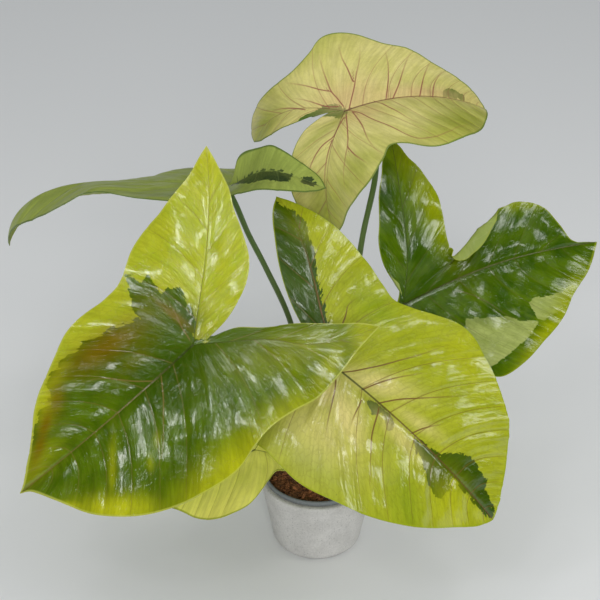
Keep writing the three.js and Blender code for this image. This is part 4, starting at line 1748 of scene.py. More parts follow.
@dataclass
class NurseryPot:
    """The thin plastic pot that hangs by its lip on the cachepot's rim."""

    material: bpy.types.Material
    seat: float = 57.85
    lip_radius: float = 40.0
    lip_height: float = 3.8
    lip_thickness: float = 1.2
    top_radius: float = 37.8
    base_radius: float = 28.0
    base: float = 8.0
    wall: float = 1.0
    drain_holes: int = 4
    drain_radius: float = 3.0
    drain_circle: float = 18.0
    drain_sides: int = 24
    lip_round: float = 0.9
    facets: int = 120
    longest_step: float = 3.0

    def build(self) -> list[bpy.types.Object]:
        """Turns the pot with its rolled lip and drills the drain holes.

        Returns:
            Its pieces.
        """
        top = self.seat + self.lip_height
        crown = self.lip_radius - self.lip_thickness * 0.75
        roll = [(crown + self.lip_round * math.cos(a), top - self.lip_round + self.lip_round * math.sin(a))
                for a in np.linspace(0, math.pi, 9)]
        inside_foot = self.base_radius - self.wall
        profile = [(0.0, self.base), (self.base_radius - 1, self.base), (self.base_radius, self.base + 1),
                   (self.top_radius, self.seat - 1), (self.top_radius, self.seat), (self.lip_radius - 0.3, self.seat),
                   (self.lip_radius, self.seat + 0.4), *roll, (self.top_radius - self.wall, self.seat - 1),
                   (inside_foot, self.base + 2), (inside_foot - 1, self.base + self.wall),
                   (0.0, self.base + self.wall)]
        points, triangles = lathe(profile, self.facets, self.longest_step)
        parts = MeshParts()
        parts.add(points, triangles)
        piece = parts.make("nursery_pot_shell", [self.material])
        self.drill(piece)
        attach(piece, "root")
        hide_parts("nursery_pot")
        return [piece]

    def drill(self, piece: bpy.types.Object) -> None:
        """Cuts the drain holes and leaves the modifier applied.

        Args:
            piece: The turned pot.
        """
        parts = MeshParts()
        for hole in range(self.drain_holes):
            angle = 2 * math.pi * (hole + 0.5) / self.drain_holes
            centre = np.array([self.drain_circle * math.cos(angle), self.drain_circle * math.sin(angle), self.base])
            line = centre + np.array([[0, 0, -3.0], [0, 0, 0], [0, 0, 3.0]])
            points, triangles, _ = rod(line, np.full(3, self.drain_radius), self.drain_sides)
            parts.add(points, triangles)
        drills = parts.make("drain_drills", [])
        cut = piece.modifiers.new("drain", "BOOLEAN")
        cut.operation, cut.object, cut.solver = "DIFFERENCE", drills, "EXACT"
        evaluated = piece.evaluated_get(bpy.context.evaluated_depsgraph_get())
        mesh = bpy.data.meshes.new_from_object(evaluated)
        piece.modifiers.clear()
        piece.data = mesh
        bpy.data.objects.remove(drills)


@dataclass
class PottingMix:
    """The crumbly soil, with chips of bark and threads of coir on it."""

    material: bpy.types.Material
    level: float = 54.0
    edge_radius: float = 36.2
    foot_radius: float = 25.5
    bottom: float = 9.35
    rings: int = 64
    sectors: int = 180
    chips: int = 330
    chip_spread: float = 0.94
    chip_sizes: Point = (0.6, 1.9)
    chip_length: float = 1.5
    chip_widths: Point = (0.5, 1.0)
    chip_heights: Point = (0.25, 0.6)
    chip_dents: float = 0.16
    chip_lean: float = 0.6
    threads: int = 90
    thread_spread: float = 0.85
    thread_lengths: Point = (4.0, 11.0)
    thread_radii: Point = (0.1, 0.2)
    thread_bend: float = 0.25
    thread_arch: float = 0.6
    thread_steps: int = 9
    seed: int = 12

    CRUMB_LAYERS = ((0, 1.1, 9, 20), (1, 0.6, 3.4, 20), (2, 0.35, 1.5, 30))

    def build(self) -> list[bpy.types.Object]:
        """Builds the crumbly top, the plain sides, the chips and the threads as one mesh.

        Returns:
            Its pieces.
        """
        parts = MeshParts()
        radius = np.linspace(0.02, 1, self.rings) * self.edge_radius
        angle = np.linspace(0, 2 * math.pi, self.sectors, endpoint=False)
        x = (radius[:, None] * np.cos(angle)).ravel()
        y = (radius[:, None] * np.sin(angle)).ravel()
        z = self.height(x, y)
        wall = [(self.edge_radius, self.level - 4), (self.foot_radius + 0.5, self.bottom + 2),
                (self.foot_radius, self.bottom), (0.01, self.bottom)]
        sides = np.array([[r * math.cos(a), r * math.sin(a), h] for r, h in wall for a in angle])
        points = np.vstack([np.column_stack([x, y, z]), sides])
        index = np.arange(len(points)).reshape(-1, self.sectors)
        fan = np.stack([np.full(self.sectors, len(points)), index[0], np.roll(index[0], -1)], -1)
        points = np.vstack([points, [0, 0, self.height(np.zeros(1), np.zeros(1))[0]]])
        parts.add(points, np.vstack([strip(index, True)[:, ::-1], fan]), 0, tone=np.zeros(len(points)))
        self.scatter(parts)
        piece = parts.make("potting_mix", [self.material])
        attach(piece, "root")
        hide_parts("potting_soil")
        return [piece]

    def height(self, x: np.ndarray, y: np.ndarray) -> np.ndarray:
        """Works out the height of the crumbly top.

        Args:
            x: First flat coordinates.
            y: Second flat coordinates.

        Returns:
            The heights.
        """
        near_wall = smoothstep(np.hypot(x, y), self.edge_radius, self.edge_radius - 4)
        rough = sum(strength * Drift(self.seed + turn).at(x / size + shift, y / size + shift)
                    for turn, strength, size, shift in self.CRUMB_LAYERS)
        return self.level - 1.0 + near_wall * 0.7 + rough * (0.4 + 0.6 * near_wall)

    def scatter(self, parts: MeshParts) -> None:
        """Lays chips of bark and threads of coir on the soil.

        Args:
            parts: The mesh that gets them.
        """
        rng = np.random.default_rng(self.seed)
        ball = np.array([[math.cos(a) * math.cos(b), math.sin(a) * math.cos(b), math.sin(b)]
                         for b in np.linspace(-math.pi / 2, math.pi / 2, 6)
                         for a in np.linspace(0, 2 * math.pi, 8, endpoint=False)])
        for _ in range(self.chips):
            self.lay_chip(parts, rng, ball)
        for _ in range(self.threads):
            self.lay_thread(parts, rng)

    def lay_chip(self, parts: MeshParts, rng: np.random.Generator, ball: np.ndarray) -> None:
        """Lays one chip of bark, a dented and flattened ball that leans and is turned.

        Args:
            parts: The mesh that gets it.
            rng: The source of the random draws.
            ball: The points of a ball of radius one, in rows of eight.
        """
        spread = self.edge_radius * self.chip_spread * math.sqrt(rng.random())
        turn, tilt = rng.uniform(0, 2 * math.pi, 2)
        size = rng.uniform(*self.chip_sizes) * np.array(
            [self.chip_length, rng.uniform(*self.chip_widths), rng.uniform(*self.chip_heights)])
        chip = (ball + rng.normal(0, self.chip_dents, ball.shape)) * size
        c, s = math.cos(tilt), math.sin(tilt)
        chip = chip @ np.array([[c, s, 0], [-s, c, 0], [0, 0, 1]])
        lean = rng.uniform(-self.chip_lean, self.chip_lean)
        c, s = math.cos(lean), math.sin(lean)
        chip = chip @ np.array([[c, 0, s], [0, 1, 0], [-s, 0, c]])
        x, y = spread * math.cos(turn), spread * math.sin(turn)
        z = float(self.height(np.array([x]), np.array([y]))[0]) + 0.25 * size[2]
        faces = strip(np.arange(len(ball)).reshape(-1, 8), True)
        parts.add(chip + [x, y, z], faces, 0, tone=np.full(len(ball), rng.uniform(0, 1) ** 1.5))

    def lay_thread(self, parts: MeshParts, rng: np.random.Generator) -> None:
        """Lays one curved thread of coir.

        Args:
            parts: The mesh that gets it.
            rng: The source of the random draws.
        """
        spread = self.edge_radius * self.thread_spread * math.sqrt(rng.random())
        turn, way = rng.uniform(0, 2 * math.pi, 2)
        length, bend = rng.uniform(*self.thread_lengths), rng.uniform(-self.thread_bend, self.thread_bend)
        steps = self.thread_steps
        t = np.linspace(-0.5, 0.5, steps)
        heading = way + bend * t * 6
        x = spread * math.cos(turn) + np.cumsum(np.cos(heading)) * length / steps
        y = spread * math.sin(turn) + np.cumsum(np.sin(heading)) * length / steps
        reach = np.maximum(np.hypot(x, y) / (self.edge_radius - 0.6), 1)
        x, y = x / reach, y / reach
        z = self.height(x, y) + 0.35 + self.thread_arch * np.cos(math.pi * t)
        radius = rng.uniform(*self.thread_radii)
        points, triangles, _ = rod(np.column_stack([x, y, z]), np.full(steps, radius), 5)
        parts.add(points, triangles, 0, tone=np.full(len(points), rng.uniform(0.6, 1)))


@dataclass
class Stem:
    """The short stub that carries the stalks, with the scars of old leaves."""

    material: bpy.types.Material
    base_radius: float = 5.5
    top_radius: float = 4.0
    top: float = 76.0
    bottom: float = 42.0
    taper_start: float = 62.0
    scars: Sequence[float] = (57.0, 62.5, 68.0, 72.5)
    scar_depth: float = 0.45
    scar_height: float = 0.6
    top_round: float = 2.2
    steps: int = 70
    sides: int = 40

    def build(self) -> list[bpy.types.Object]:
        """Turns the stub and sinks a ring at each scar.

        Returns:
            Its pieces.
        """
        height = np.linspace(self.bottom, self.top, self.steps)
        share = np.clip((height - self.taper_start) / (self.top - self.taper_start), 0, 1)
        radius = self.base_radius + (self.top_radius - self.base_radius) * share
        for scar in self.scars:
            radius = radius - self.scar_depth * np.exp(-((height - scar) / self.scar_height) ** 2)
        radius = radius * np.sqrt(np.clip((self.top - height) / self.top_round, 0.02, 1))
        path = np.column_stack([0 * height, 0 * height, height])
        points, triangles, place = rod(path, radius, self.sides)
        parts = MeshParts()
        parts.add(points, triangles, 0, along=place[:, 0] * 0.4, turn=place[:, 1])
        piece = parts.make("stem_stub", [self.material])
        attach(piece, "root")
        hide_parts("stem")
        return [piece]


# ---------- this plant's six leaves ----------

GREEN_UPPER = dict(
    slot="leaf_green", light=(172, 176, 38), light_two=(156, 170, 34), dark=(62, 88, 2), dark_two=(94, 120, 4),
    yellow=(168, 180, 16), warm=(116, 92, 0), deep=(42, 70, 2), vein=(128, 104, 58), midrib=(112, 98, 48),
    midrib_foot=(48, 58, 10), rim=(134, 146, 30))
LIME_UPPER = dict(
    slot="leaf_lime", light=(162, 168, 36), light_two=(136, 148, 14), dark=(46, 72, 2), dark_two=(66, 92, 10),
    yellow=(170, 174, 22), warm=(214, 200, 124), deep=(118, 142, 14), vein=(112, 82, 44), midrib=(96, 68, 34),
    midrib_foot=(36, 54, 6), rim=(146, 158, 28))
CREAM_UPPER = dict(
    slot="leaf_cream", light=(212, 202, 126), light_two=(188, 184, 88), dark=(44, 100, 0), dark_two=(72, 108, 8),
    yellow=(168, 168, 66), warm=(204, 172, 118), deep=(142, 152, 30), vein=(142, 76, 64), midrib=(120, 70, 52),
    midrib_foot=(104, 60, 50), rim=(88, 118, 24))
UNDER = dict(
    slot="leaf_green", light=(150, 160, 66), light_two=(136, 150, 58), dark=(94, 120, 50), dark_two=(106, 128, 56),
    yellow=(150, 160, 66), warm=(150, 144, 76), deep=(88, 114, 46), vein=(164, 170, 100), midrib=(160, 166, 96),
    midrib_foot=(128, 138, 74), rim=(138, 150, 48), gloss=0.5, coat=0.05, vein_strength=0.5, net_strength=0.3)


def finish(base: dict[str, Any], **changes: Any) -> LeafFinish:
    """Returns a leaf finish from a base, with its own changes."""
    return LeafFinish(**{**base, **changes})


LEAF_FRONT_LEFT = LeafShape(
    name="leaf_front_left", stalk_top=(-84, -54, 205), heading=207, pitch=-35, roll=-32, length=154, reach=99,
    droop=10, hang=5, sweep=-12, wave=2.2, waves=5, seed=11,
    left=Half(
        outer=[
            (154, 0), (146, 5), (136, 21), (125, 41), (111, 56), (96, 67), (76, 76), (56, 82), (34, 84),
            (15, 81), (-3, 79), (-21, 81), (-37, 85), (-56, 84), (-77, 80), (-98, 78)],
        inner=[(-98, 78), (-90, 68), (-77, 56), (-61, 40), (-43, 26), (-30, 13), (-17, 7), (-8, 4)],
        rib=[(0, 0), (-37, 32), (-54, 53), (-74, 68), (-98, 78)], keel=7, cup=-10),
    right=Half(
        outer=[
            (154, 0), (145, -5), (129, -19), (113, -35), (96, -47), (80, -57), (63, -65), (43, -68), (22, -67),
            (5, -69), (-14, -80), (-29, -84), (-44, -84), (-58, -86), (-71, -88), (-84, -92), (-97, -96)],
        inner=[
            (-97, -96), (-95, -86), (-92, -75), (-88, -62), (-81, -49), (-76, -36), (-67, -18), (-55, -7),
            (-42, -1), (-29, 3), (-17, 4), (-8, 4)],
        rib=[(0, 0), (-35, -29), (-55, -47), (-77, -70), (-97, -96)], keel=7, cup=-10, lobe_keel=9),
    stalk=[(-7, -9, 62), (-10, -13, 100), (-24, -20, 152), (-52, -30, 190), (-72, -43, 203)],
    pattern=Pattern(
        ground=Ground.DARK,
        patches=[
            [
                (-4, -4), (-10, -9), (-14, -17), (-18, -27), (-19, -35), (-15, -40), (-9, -41), (-8, -50),
                (-10, -59), (-3, -57), (-1, -66), (3, -72), (0, -80), (-30, -104), (-112, -112), (-112, 20),
                (-40, 9), (-20, 6), (-8, 5)],
            [
                (3, -70), (7, -59), (10, -53), (13, -48), (15, -38), (23, -42), (31, -46), (41, -48), (45, -49),
                (53, -54), (61, -53), (68, -53), (73, -54), (77, -50), (84, -52), (90, -49), (92, -41),
                (98, -34), (104, -36), (113, -31), (124, -24), (140, -12), (162, -8), (140, -50), (90, -90),
                (10, -90)]],
        accents=[
            [(-1, -4), (-3, -15), (-6, -25), (-9, -41)], [(35, 0), (44, -8), (52, -17), (61, -26), (79, -36)],
            [(29, 1), (38, 15), (47, 26), (58, 39), (65, 45), (79, 51)]],
        yellow=[
            Brush(30, 84, 60, 17, 0, 0.8), Brush(-50, 54, 44, 18, 150, 0.3), Brush(-10, 82, 30, 15, 0, 0.6),
            Brush(108, 52, 28, 10, -40, 0.95), Brush(132, -8, 24, 10, 10, 0.35),
            Brush(-94, -92, 16, 14, 0, 0.9), Brush(-88, 76, 20, 14, 30, 0.6), Brush(94, 30, 3, 22, -38, 0.45),
            Brush(58, 33, 6, 2.4, 50, 0.3), Brush(72, 43, 6, 2.4, 50, 0.3), Brush(-50, 78, 34, 9, 20, 0.5),
            Brush(131, 30, 16, 4, -38, 0.7), Brush(84, -46, 20, 6, 20, 0.5), Brush(100, -35, 17, 6, 38, 0.6)],
        warm=[
            Brush(92, -34, 14, 6, 40, 0.6), Brush(109, -26, 14, 4, 30, 0.8), Brush(45, -40, 32, 12, -10, 0.8),
            Brush(120, -18, 18, 4, 35, 0.7), Brush(-4, -26, 3, 20, 8, 0.6), Brush(8, -40, 16, 16, 0, 0.25),
            Brush(30, -22, 26, 8, 10, 0.25)],
        deep=[Brush(22, 4, 34, 26, 0, 0.75), Brush(-30, 26, 34, 14, 140, 0.5), Brush(-8, -14, 14, 12, 0, 0.6)]),
    relief=Relief(streak=0.12, crease=0.6, swell=0.9, quilt=0.6),
    # The pale cream rim is partly the margin's own light edge and partly a painted highlight along it.
    upper=finish(GREEN_UPPER, length=154.0, mottle=0.6, yellow=(174, 176, 22), rim=(176, 180, 76)),
    under=finish(UNDER, length=154.0))

LEAF_FRONT_RIGHT = LeafShape(
    name="leaf_front_right", stalk_top=(15, -59, 187), heading=-27.5, pitch=-28.5, roll=31, length=149,
    reach=105, droop=32, hang=6, sweep=-2, wave=1.6, waves=5, seed=21,
    left=Half(
        outer=[
            (149, 0), (141, 15), (128, 35), (114, 50), (100, 60), (75, 73), (46, 79), (24, 73), (8, 66),
            (-4, 62), (-17, 66), (-38, 74), (-62, 79), (-82, 79), (-99, 76), (-113, 72)],
        inner=[(-113, 72), (-107, 60), (-94, 46), (-78, 31), (-60, 18), (-43, 9), (-25, 3), (-8, 0)],
        rib=[(0, 0), (-36, 23), (-68, 50), (-92, 66), (-113, 72)], keel=6, cup=-7),
    right=Half(
        outer=[
            (149, 0), (141, -12), (126, -26), (110, -40), (93, -52), (70, -64), (43, -73), (24, -77), (6, -77),
            (-10, -75), (-30, -77), (-52, -80), (-70, -77), (-86, -66)],
        inner=[(-86, -66), (-80, -50), (-68, -34), (-54, -20), (-38, -10), (-22, -4), (-8, 0)],
        rib=[(0, 0), (-30, -21), (-56, -42), (-73, -55), (-86, -66)], keel=6, cup=-7, lobe_keel=-40),
    stalk=[(4, -11, 62), (6, -18, 98), (10, -36, 140), (14, -50, 168)],
    pattern=Pattern(
        ground=Ground.LIGHT,
        patches=[
            [
                (-112, 69), (-103, 69), (-94, 70), (-85, 69), (-74, 60), (-63, 51), (-49, 38), (-35, 27),
                (-26, 20), (-10, 6), (-8, -2), (-30, -2), (-60, 6), (-100, 40), (-125, 70)],
            [
                (64, -2), (77, 1), (87, 3), (94, 12), (104, 18), (109, 17), (117, 15), (124, 16), (129, 9),
                (138, 7), (149, 1), (141, -3), (124, -3), (104, -3), (105, -11), (104, -19), (98, -22),
                (88, -19), (79, -10), (72, -8)],
            [(23, -5), (28, -2), (36, 0), (44, -1), (49, -4), (50, -11), (44, -9), (37, -5), (33, -9), (27, -8)]],
        accents=[
            [(0, 0), (6, 6), (17, 20), (25, 32), (33, 44), (45, 66)], [(32, 0), (41, 11), (56, 26), (77, 47)],
            [(0, -7), (5, -16), (13, -33), (21, -48)], [(18, 0), (24, 11), (32, 23), (45, 39)],
            [(34, -4), (40, -18), (47, -29), (63, -51)], [(62, 0), (66, 8), (75, 20)],
            [(22, -8), (24, -18), (27, -27)], [(-19, 22), (-22, 32), (-25, 39), (-23, 48)],
            [(-6, 4), (-30, 19), (-52, 37), (-74, 53), (-96, 66)]],
        yellow=[
            Brush(120, -20, 26, 14, -30, 0.7), Brush(60, 64, 34, 10, 0, 0.4), Brush(-60, 70, 30, 10, 10, 0.5)],
        warm=[
            Brush(20, 8, 30, 9, 25, 0.7), Brush(20, -22, 26, 12, -30, 0.8), Brush(2, -18, 12, 16, 0, 0.7),
            Brush(56, -8, 22, 6, -5, 0.6), Brush(60, 8, 20, 5, 10, 0.5), Brush(14, -42, 36, 30, 0, 0.5)],
        deep=[Brush(20, -62, 40, 12, 0, 0.5), Brush(86, -40, 26, 12, -30, 0.5), Brush(-10, 50, 20, 14, 0, 0.5)]),
    relief=Relief(crease=1.05, swell=1.5),
    upper=finish(LIME_UPPER, length=149.0, specks=0.8, vein_strength=0.95),
    under=finish(UNDER, slot="leaf_lime", length=149.0))

LEAF_RIGHT = LeafShape(
    name="leaf_right", stalk_top=(59, -2, 206), heading=20, pitch=7, roll=48, length=159, reach=60, droop=6,
    hang=0, sweep=4, bow=8, wave=1.2, waves=4, seed=31,
    left=Half(
        outer=[
            (159, 0), (150, 1), (143, 2), (137, 6), (134, 14), (129, 27), (122, 34), (112, 38), (102, 39),
            (92, 35), (80, 30), (68, 24), (57, 19), (50, 15), (45, 18), (46, 28), (49, 44), (50, 58), (46, 73),
            (43, 84), (39, 93), (36, 102), (31, 111)],
        inner=[
            (31, 111), (22, 104), (15, 90), (8, 78), (2, 62), (-4, 46), (-5, 32), (-3, 22), (1, 14), (-1, 7),
            (-5, 1)],
        rib=[(0, 0), (13, 27), (19, 50), (25, 80), (31, 111)], keel=6, cup=-6,
        roll=Roll(0.33, 0.61, 1.7, 8.5, 172)),
    right=Half(
        outer=[
            (159, 0), (150, -12), (139, -24), (123, -37), (106, -53), (86, -65), (68, -73), (50, -76),
            (37, -67), (33, -58), (35, -66), (37, -78), (33, -93), (24, -106)],
        inner=[(24, -106), (15, -97), (8, -82), (2, -62), (-2, -42), (-4, -24), (-5, -12), (-5, 1)],
        rib=[(0, 0), (10, -24), (18, -48), (23, -78), (24, -106)], keel=6, cup=-6),
    stalk=[(11, -2, 62), (16, -3, 100), (30, 0, 150), (47, 3, 185)],
    pattern=Pattern(
        ground=Ground.DARK,
        patches=[
            [
                (38, -28), (48, -32), (60, -36), (68, -38), (77, -44), (90, -49), (83, -55), (73, -59),
                (62, -63), (50, -66), (36, -66), (34, -46)],
            [
                (88, -34), (93, -32), (102, -33), (114, -33), (118, -31), (127, -29), (134, -34), (115, -44),
                (102, -47), (94, -49), (90, -46)]],
        accents=[[(42, -9), (52, -17), (60, -26), (67, -35), (76, -43), (88, -49)]],
        yellow=[
            Brush(90, -62, 40, 8, 34, 0.9), Brush(119, -41, 27, 9, 41, 0.98), Brush(44, 60, 12, 44, 5, 0.7),
            Brush(38, 95, 12, 20, 5, 0.6), Brush(104, 38, 30, 5, -10, 0.5), Brush(106, -62, 8, 5, 40, 0.9)],
        warm=[],
        deep=[
            Brush(50, 4, 60, 18, 0, 0.7), Brush(10, 70, 12, 40, 10, 0.5), Brush(120, 16, 16, 14, 0, 0.4),
            Brush(54, -34, 20, 5, -20, 0.4)]),
    relief=Relief(quilt=0.6, streak=0.1, swell=2.2, crease=0.65),
    upper=finish(
        GREEN_UPPER, length=159.0, light=(156, 166, 92), light_two=(122, 138, 54), dark=(50, 80, 0),
        dark_two=(104, 130, 4), yellow=(142, 152, 4), ragged=1.1, vein=(98, 88, 50), midrib=(84, 84, 44),
        vein_strength=0.5),
    under=finish(UNDER, length=159.0, dark=(140, 154, 70), dark_two=(126, 142, 58), deep=(128, 144, 62)))

LEAF_TOP = LeafShape(
    name="leaf_top", stalk_top=(19, 89, 313), heading=20, pitch=13.5, roll=2.5, length=122, reach=75, droop=44,
    hang=35, sweep=6, wave=1.6, waves=4, seed=41,
    left=Half(
        outer=[
            (122, 0), (116, 10), (106, 20), (93, 31), (83, 37), (68, 46), (50, 55), (35, 66), (22, 69),
            (10, 68), (-1, 61), (-14, 56), (-25, 57), (-36, 62), (-47, 70), (-57, 75), (-65, 70), (-68, 57)],
        inner=[(-68, 57), (-62, 44), (-50, 29), (-38, 18), (-27, 11), (-16, 7), (-7, 4)],
        rib=[(0, 0), (-16, 14), (-34, 32), (-52, 49), (-68, 57)], keel=21, cup=9, lobe_keel=-38),
    right=Half(
        outer=[
            (122, 0), (115, -14), (106, -28), (95, -42), (80, -54), (58, -61), (38, -62), (22, -57), (11, -54),
            (1, -62), (-15, -71), (-30, -71), (-44, -69), (-60, -71), (-74, -72)],
        inner=[
            (-74, -72), (-80, -60), (-79, -46), (-72, -30), (-61, -17), (-49, -8), (-38, -2), (-26, 2),
            (-14, 4), (-7, 4)],
        rib=[(0, 0), (-14, -17), (-34, -36), (-56, -54), (-74, -72)], keel=0, cup=-22, lobe_keel=-35),
    stalk=[(6, 10, 62), (12, 18, 110), (24, 30, 180), (32, 46, 235), (41, 66, 275), (40, 80, 298)],
    pattern=Pattern(
        ground=Ground.LIGHT,
        patches=[
            [
                (5, 0), (1, 3), (-3, 9), (-8, 12), (-14, 12), (-24, 13), (-30, 14), (-34, 10), (-16, 5),
                (-9, -3), (-7, -7), (-1, -5)],
            [(80, 1), (83, 7), (87, 10), (92, 12), (96, 9), (101, 6), (100, 1)]],
        accents=[
            [(4, 1), (14, 16), (21, 29), (28, 42), (33, 56)], [(16, 23), (17, 35), (17, 47), (19, 60)],
            [(1, 4), (0, 14), (-1, 21), (0, 30), (2, 44), (5, 58)], [(-1, 21), (-7, 27), (-13, 36), (-23, 52)],
            [(-3, 6), (-10, 11), (-17, 22), (-25, 36)], [(-23, 19), (-33, 35), (-42, 48)],
            [(33, 1), (41, 18), (46, 33), (49, 50)], [(38, 0), (47, 12), (59, 32), (67, 44)],
            [(60, 0), (66, 12), (73, 25), (82, 39)], [(71, 0), (78, 15), (89, 29)],
            [(3, -2), (8, -9), (13, -24), (20, -36), (30, -51), (43, -54), (61, -51), (90, -37)],
            [(4, -5), (3, -24), (0, -42), (2, -58)], [(-1, -5), (-8, -23), (-15, -37), (-28, -50), (-36, -62)],
            [(-15, -37), (-14, -47), (-10, -60)], [(-4, -8), (-16, -19), (-30, -30), (-44, -42), (-60, -58)],
            [(-19, -21), (-32, -22), (-48, -28), (-64, -38)], [(24, 0), (31, -20), (37, -33), (45, -42)]],
        yellow=[Brush(60, -52, 40, 9, 10, 0.6), Brush(10, 60, 40, 10, 0, 0.4)],
        warm=[Brush(60, 4, 50, 7, 0, 0.6), Brush(8, 10, 24, 16, 0, 0.6), Brush(8, -10, 16, 12, 0, 0.5)],
        deep=[
            Brush(80, -38, 50, 22, 30, 0.8), Brush(-60, -58, 34, 18, 20, 0.7), Brush(-56, 50, 26, 14, -30, 0.7),
            Brush(86, -12, 36, 26, 0, 0.4), Brush(-22, -56, 34, 16, 0, 0.6), Brush(-4, 66, 40, 9, 10, 0.6),
            Brush(-20, -10, 30, 6, 10, 0.5)]),
    relief=Relief(midrib=0.5, lateral=0.2, quilt=0.5, streak=0.12, swell=0.9, crease=0.3),
    upper=finish(
        CREAM_UPPER, length=122.0, gloss=0.42, coat=0.12, vein_strength=0.85, net_strength=0.08, ragged=2.4),
    under=finish(UNDER, slot="leaf_cream", length=122.0, light=(196, 196, 120), light_two=(186, 190, 108)))

LEAF_LEFT = LeafShape(
    name="leaf_left", stalk_top=(-66, 85, 256), heading=176, pitch=2.5, roll=16, length=192, reach=92, droop=3,
    hook=100, hook_power=4.2, hang=-26, wave=1, waves=4, seed=51,
    left=Half(
        outer=[
            (192, 0), (178, 12), (157, 31), (131, 47), (104, 60), (74, 68), (44, 70), (14, 68), (-8, 62),
            (-24, 64), (-42, 69), (-58, 71), (-69, 67), (-75, 58)],
        inner=[(-75, 58), (-71, 46), (-59, 34), (-45, 21), (-32, 10), (-19, 4), (-8, 1)],
        rib=[(0, 0), (-21, 18), (-41, 36), (-58, 49), (-75, 58)], keel=1, cup=-2, tip_keel=-22, lobe_keel=-7,
        arch=10, hood=23, pinch=(88, 28, 12)),
    right=Half(
        outer=[
            (192, 0), (178, -12), (157, -31), (131, -49), (104, -61), (74, -69), (44, -70), (14, -68),
            (-8, -64), (-26, -66), (-46, -71), (-64, -74), (-80, -70)],
        inner=[(-80, -70), (-77, -54), (-68, -38), (-54, -23), (-38, -11), (-20, -4), (-8, 1)],
        rib=[(0, 0), (-22, -19), (-46, -39), (-65, -56), (-80, -70)], keel=7, cup=-8, tip_keel=-26, arch=6,
        pinch=(97, 32, -7)),
    stalk=[(-6, 10, 62), (-10, 23, 115), (-20, 45, 163), (-38, 61, 200), (-51, 70, 224), (-61, 80, 245)],
    pattern=Pattern(
        ground=Ground.LIGHT,
        patches=[
            [
                (-4, 4), (-14, 12), (-24, 21), (-36, 31), (-46, 40), (-52, 45), (-51, 60), (-43, 56), (-35, 50),
                (-26, 46), (-17, 40), (-7, 27)],
            [(-60, 50), (-66, 50), (-70, 57), (-66, 62), (-60, 58)]],
        yellow=[Brush(-40, 20, 20, 10, 140, 0.5)], deep=[Brush(20, 50, 40, 14, 0, 0.4)]),
    relief=Relief(midrib=0.6, lateral=0.2, quilt=0.5, streak=0.15, swell=0.8, crease=0.4),
    upper=finish(
        GREEN_UPPER, length=192.0, light=(158, 172, 76), light_two=(132, 148, 58), dark=(48, 66, 30),
        dark_two=(58, 78, 32), yellow=(150, 166, 70), deep=(90, 110, 42), rim=(60, 90, 24), vein=(140, 152, 80),
        midrib=(150, 160, 90), midrib_foot=(120, 140, 60), gloss=0.42, coat=0.15, vein_strength=0.4),
    under=finish(UNDER, length=192.0))

LEAF_LOW = LeafShape(
    name="leaf_low", stalk_top=(-45, -40, 109), heading=195, pitch=-14, roll=-25, length=84, reach=56, droop=20,
    hang=8, wave=1.2, waves=3, seed=61,
    left=Half(
        outer=[
            (84, 0), (78, 6), (71, 14), (63, 22), (56, 30), (46, 37), (36, 40), (26, 40), (17, 38), (8, 33),
            (0, 27), (-8, 22), (-18, 25), (-32, 32), (-48, 35)],
        inner=[(-48, 35), (-44, 25), (-34, 15), (-21, 7), (-7, 0)],
        rib=[(0, 0), (-14, 10), (-27, 20), (-38, 29), (-48, 35)], keel=4, cup=-10),
    right=Half(
        outer=[
            (84, 0), (78, -6), (71, -14), (60, -25), (46, -33), (30, -36), (14, -34), (0, -28), (-12, -27),
            (-24, -28), (-33, -24)],
        inner=[(-33, -24), (-29, -17), (-20, -9), (-7, 0)],
        rib=[(0, 0), (-9, -7), (-18, -14), (-26, -19), (-33, -24)], keel=6, cup=-10),
    stalk=[(-11, 0, 62), (-15, -3, 84), (-26, -17, 103), (-38, -30, 108)],
    pattern=Pattern(ground=Ground.LIGHT, patches=[], yellow=[Brush(40, 34, 30, 10, 0, 0.8)]),
    relief=Relief(midrib=0.5, quilt=0.8, swell=1.0, crease=1.1),
    # Painted light: the upper colours are painted far lighter than this leaf's own lime, standing in for the light
    # that the shade of the front left leaf takes away.
    upper=finish(
        LIME_UPPER, length=84.0, light=(240, 238, 112), light_two=(214, 220, 80), yellow=(242, 236, 112),
        net_strength=0.04),
    under=finish(UNDER, slot="leaf_lime", length=84.0))

LEAVES = (LEAF_FRONT_LEFT, LEAF_FRONT_RIGHT, LEAF_RIGHT, LEAF_TOP, LEAF_LEFT, LEAF_LOW)


# ---------- the studio ----------


@dataclass
class Softbox:
    """A large soft light: its name, place, aim, size in metres and power in watts."""

    name: str
    place: Spot
    aim: Spot
    size: float
    power: float
    mirrored: bool = True

    def build(self) -> None:
        """Adds the light, which glossy faces mirror unless it only fills."""
        light = bpy.data.lights.new(self.name, "AREA")
        light.shape, light.size, light.energy = "SQUARE", self.size, self.power
        lamp = bpy.data.objects.new(self.name, light)
        lamp.location = self.place
        lamp.rotation_euler = (Vector(self.aim) - Vector(self.place)).to_track_quat("-Z", "Y").to_euler()
        lamp.visible_glossy = self.mirrored
        bpy.context.scene.collection.objects.link(lamp)


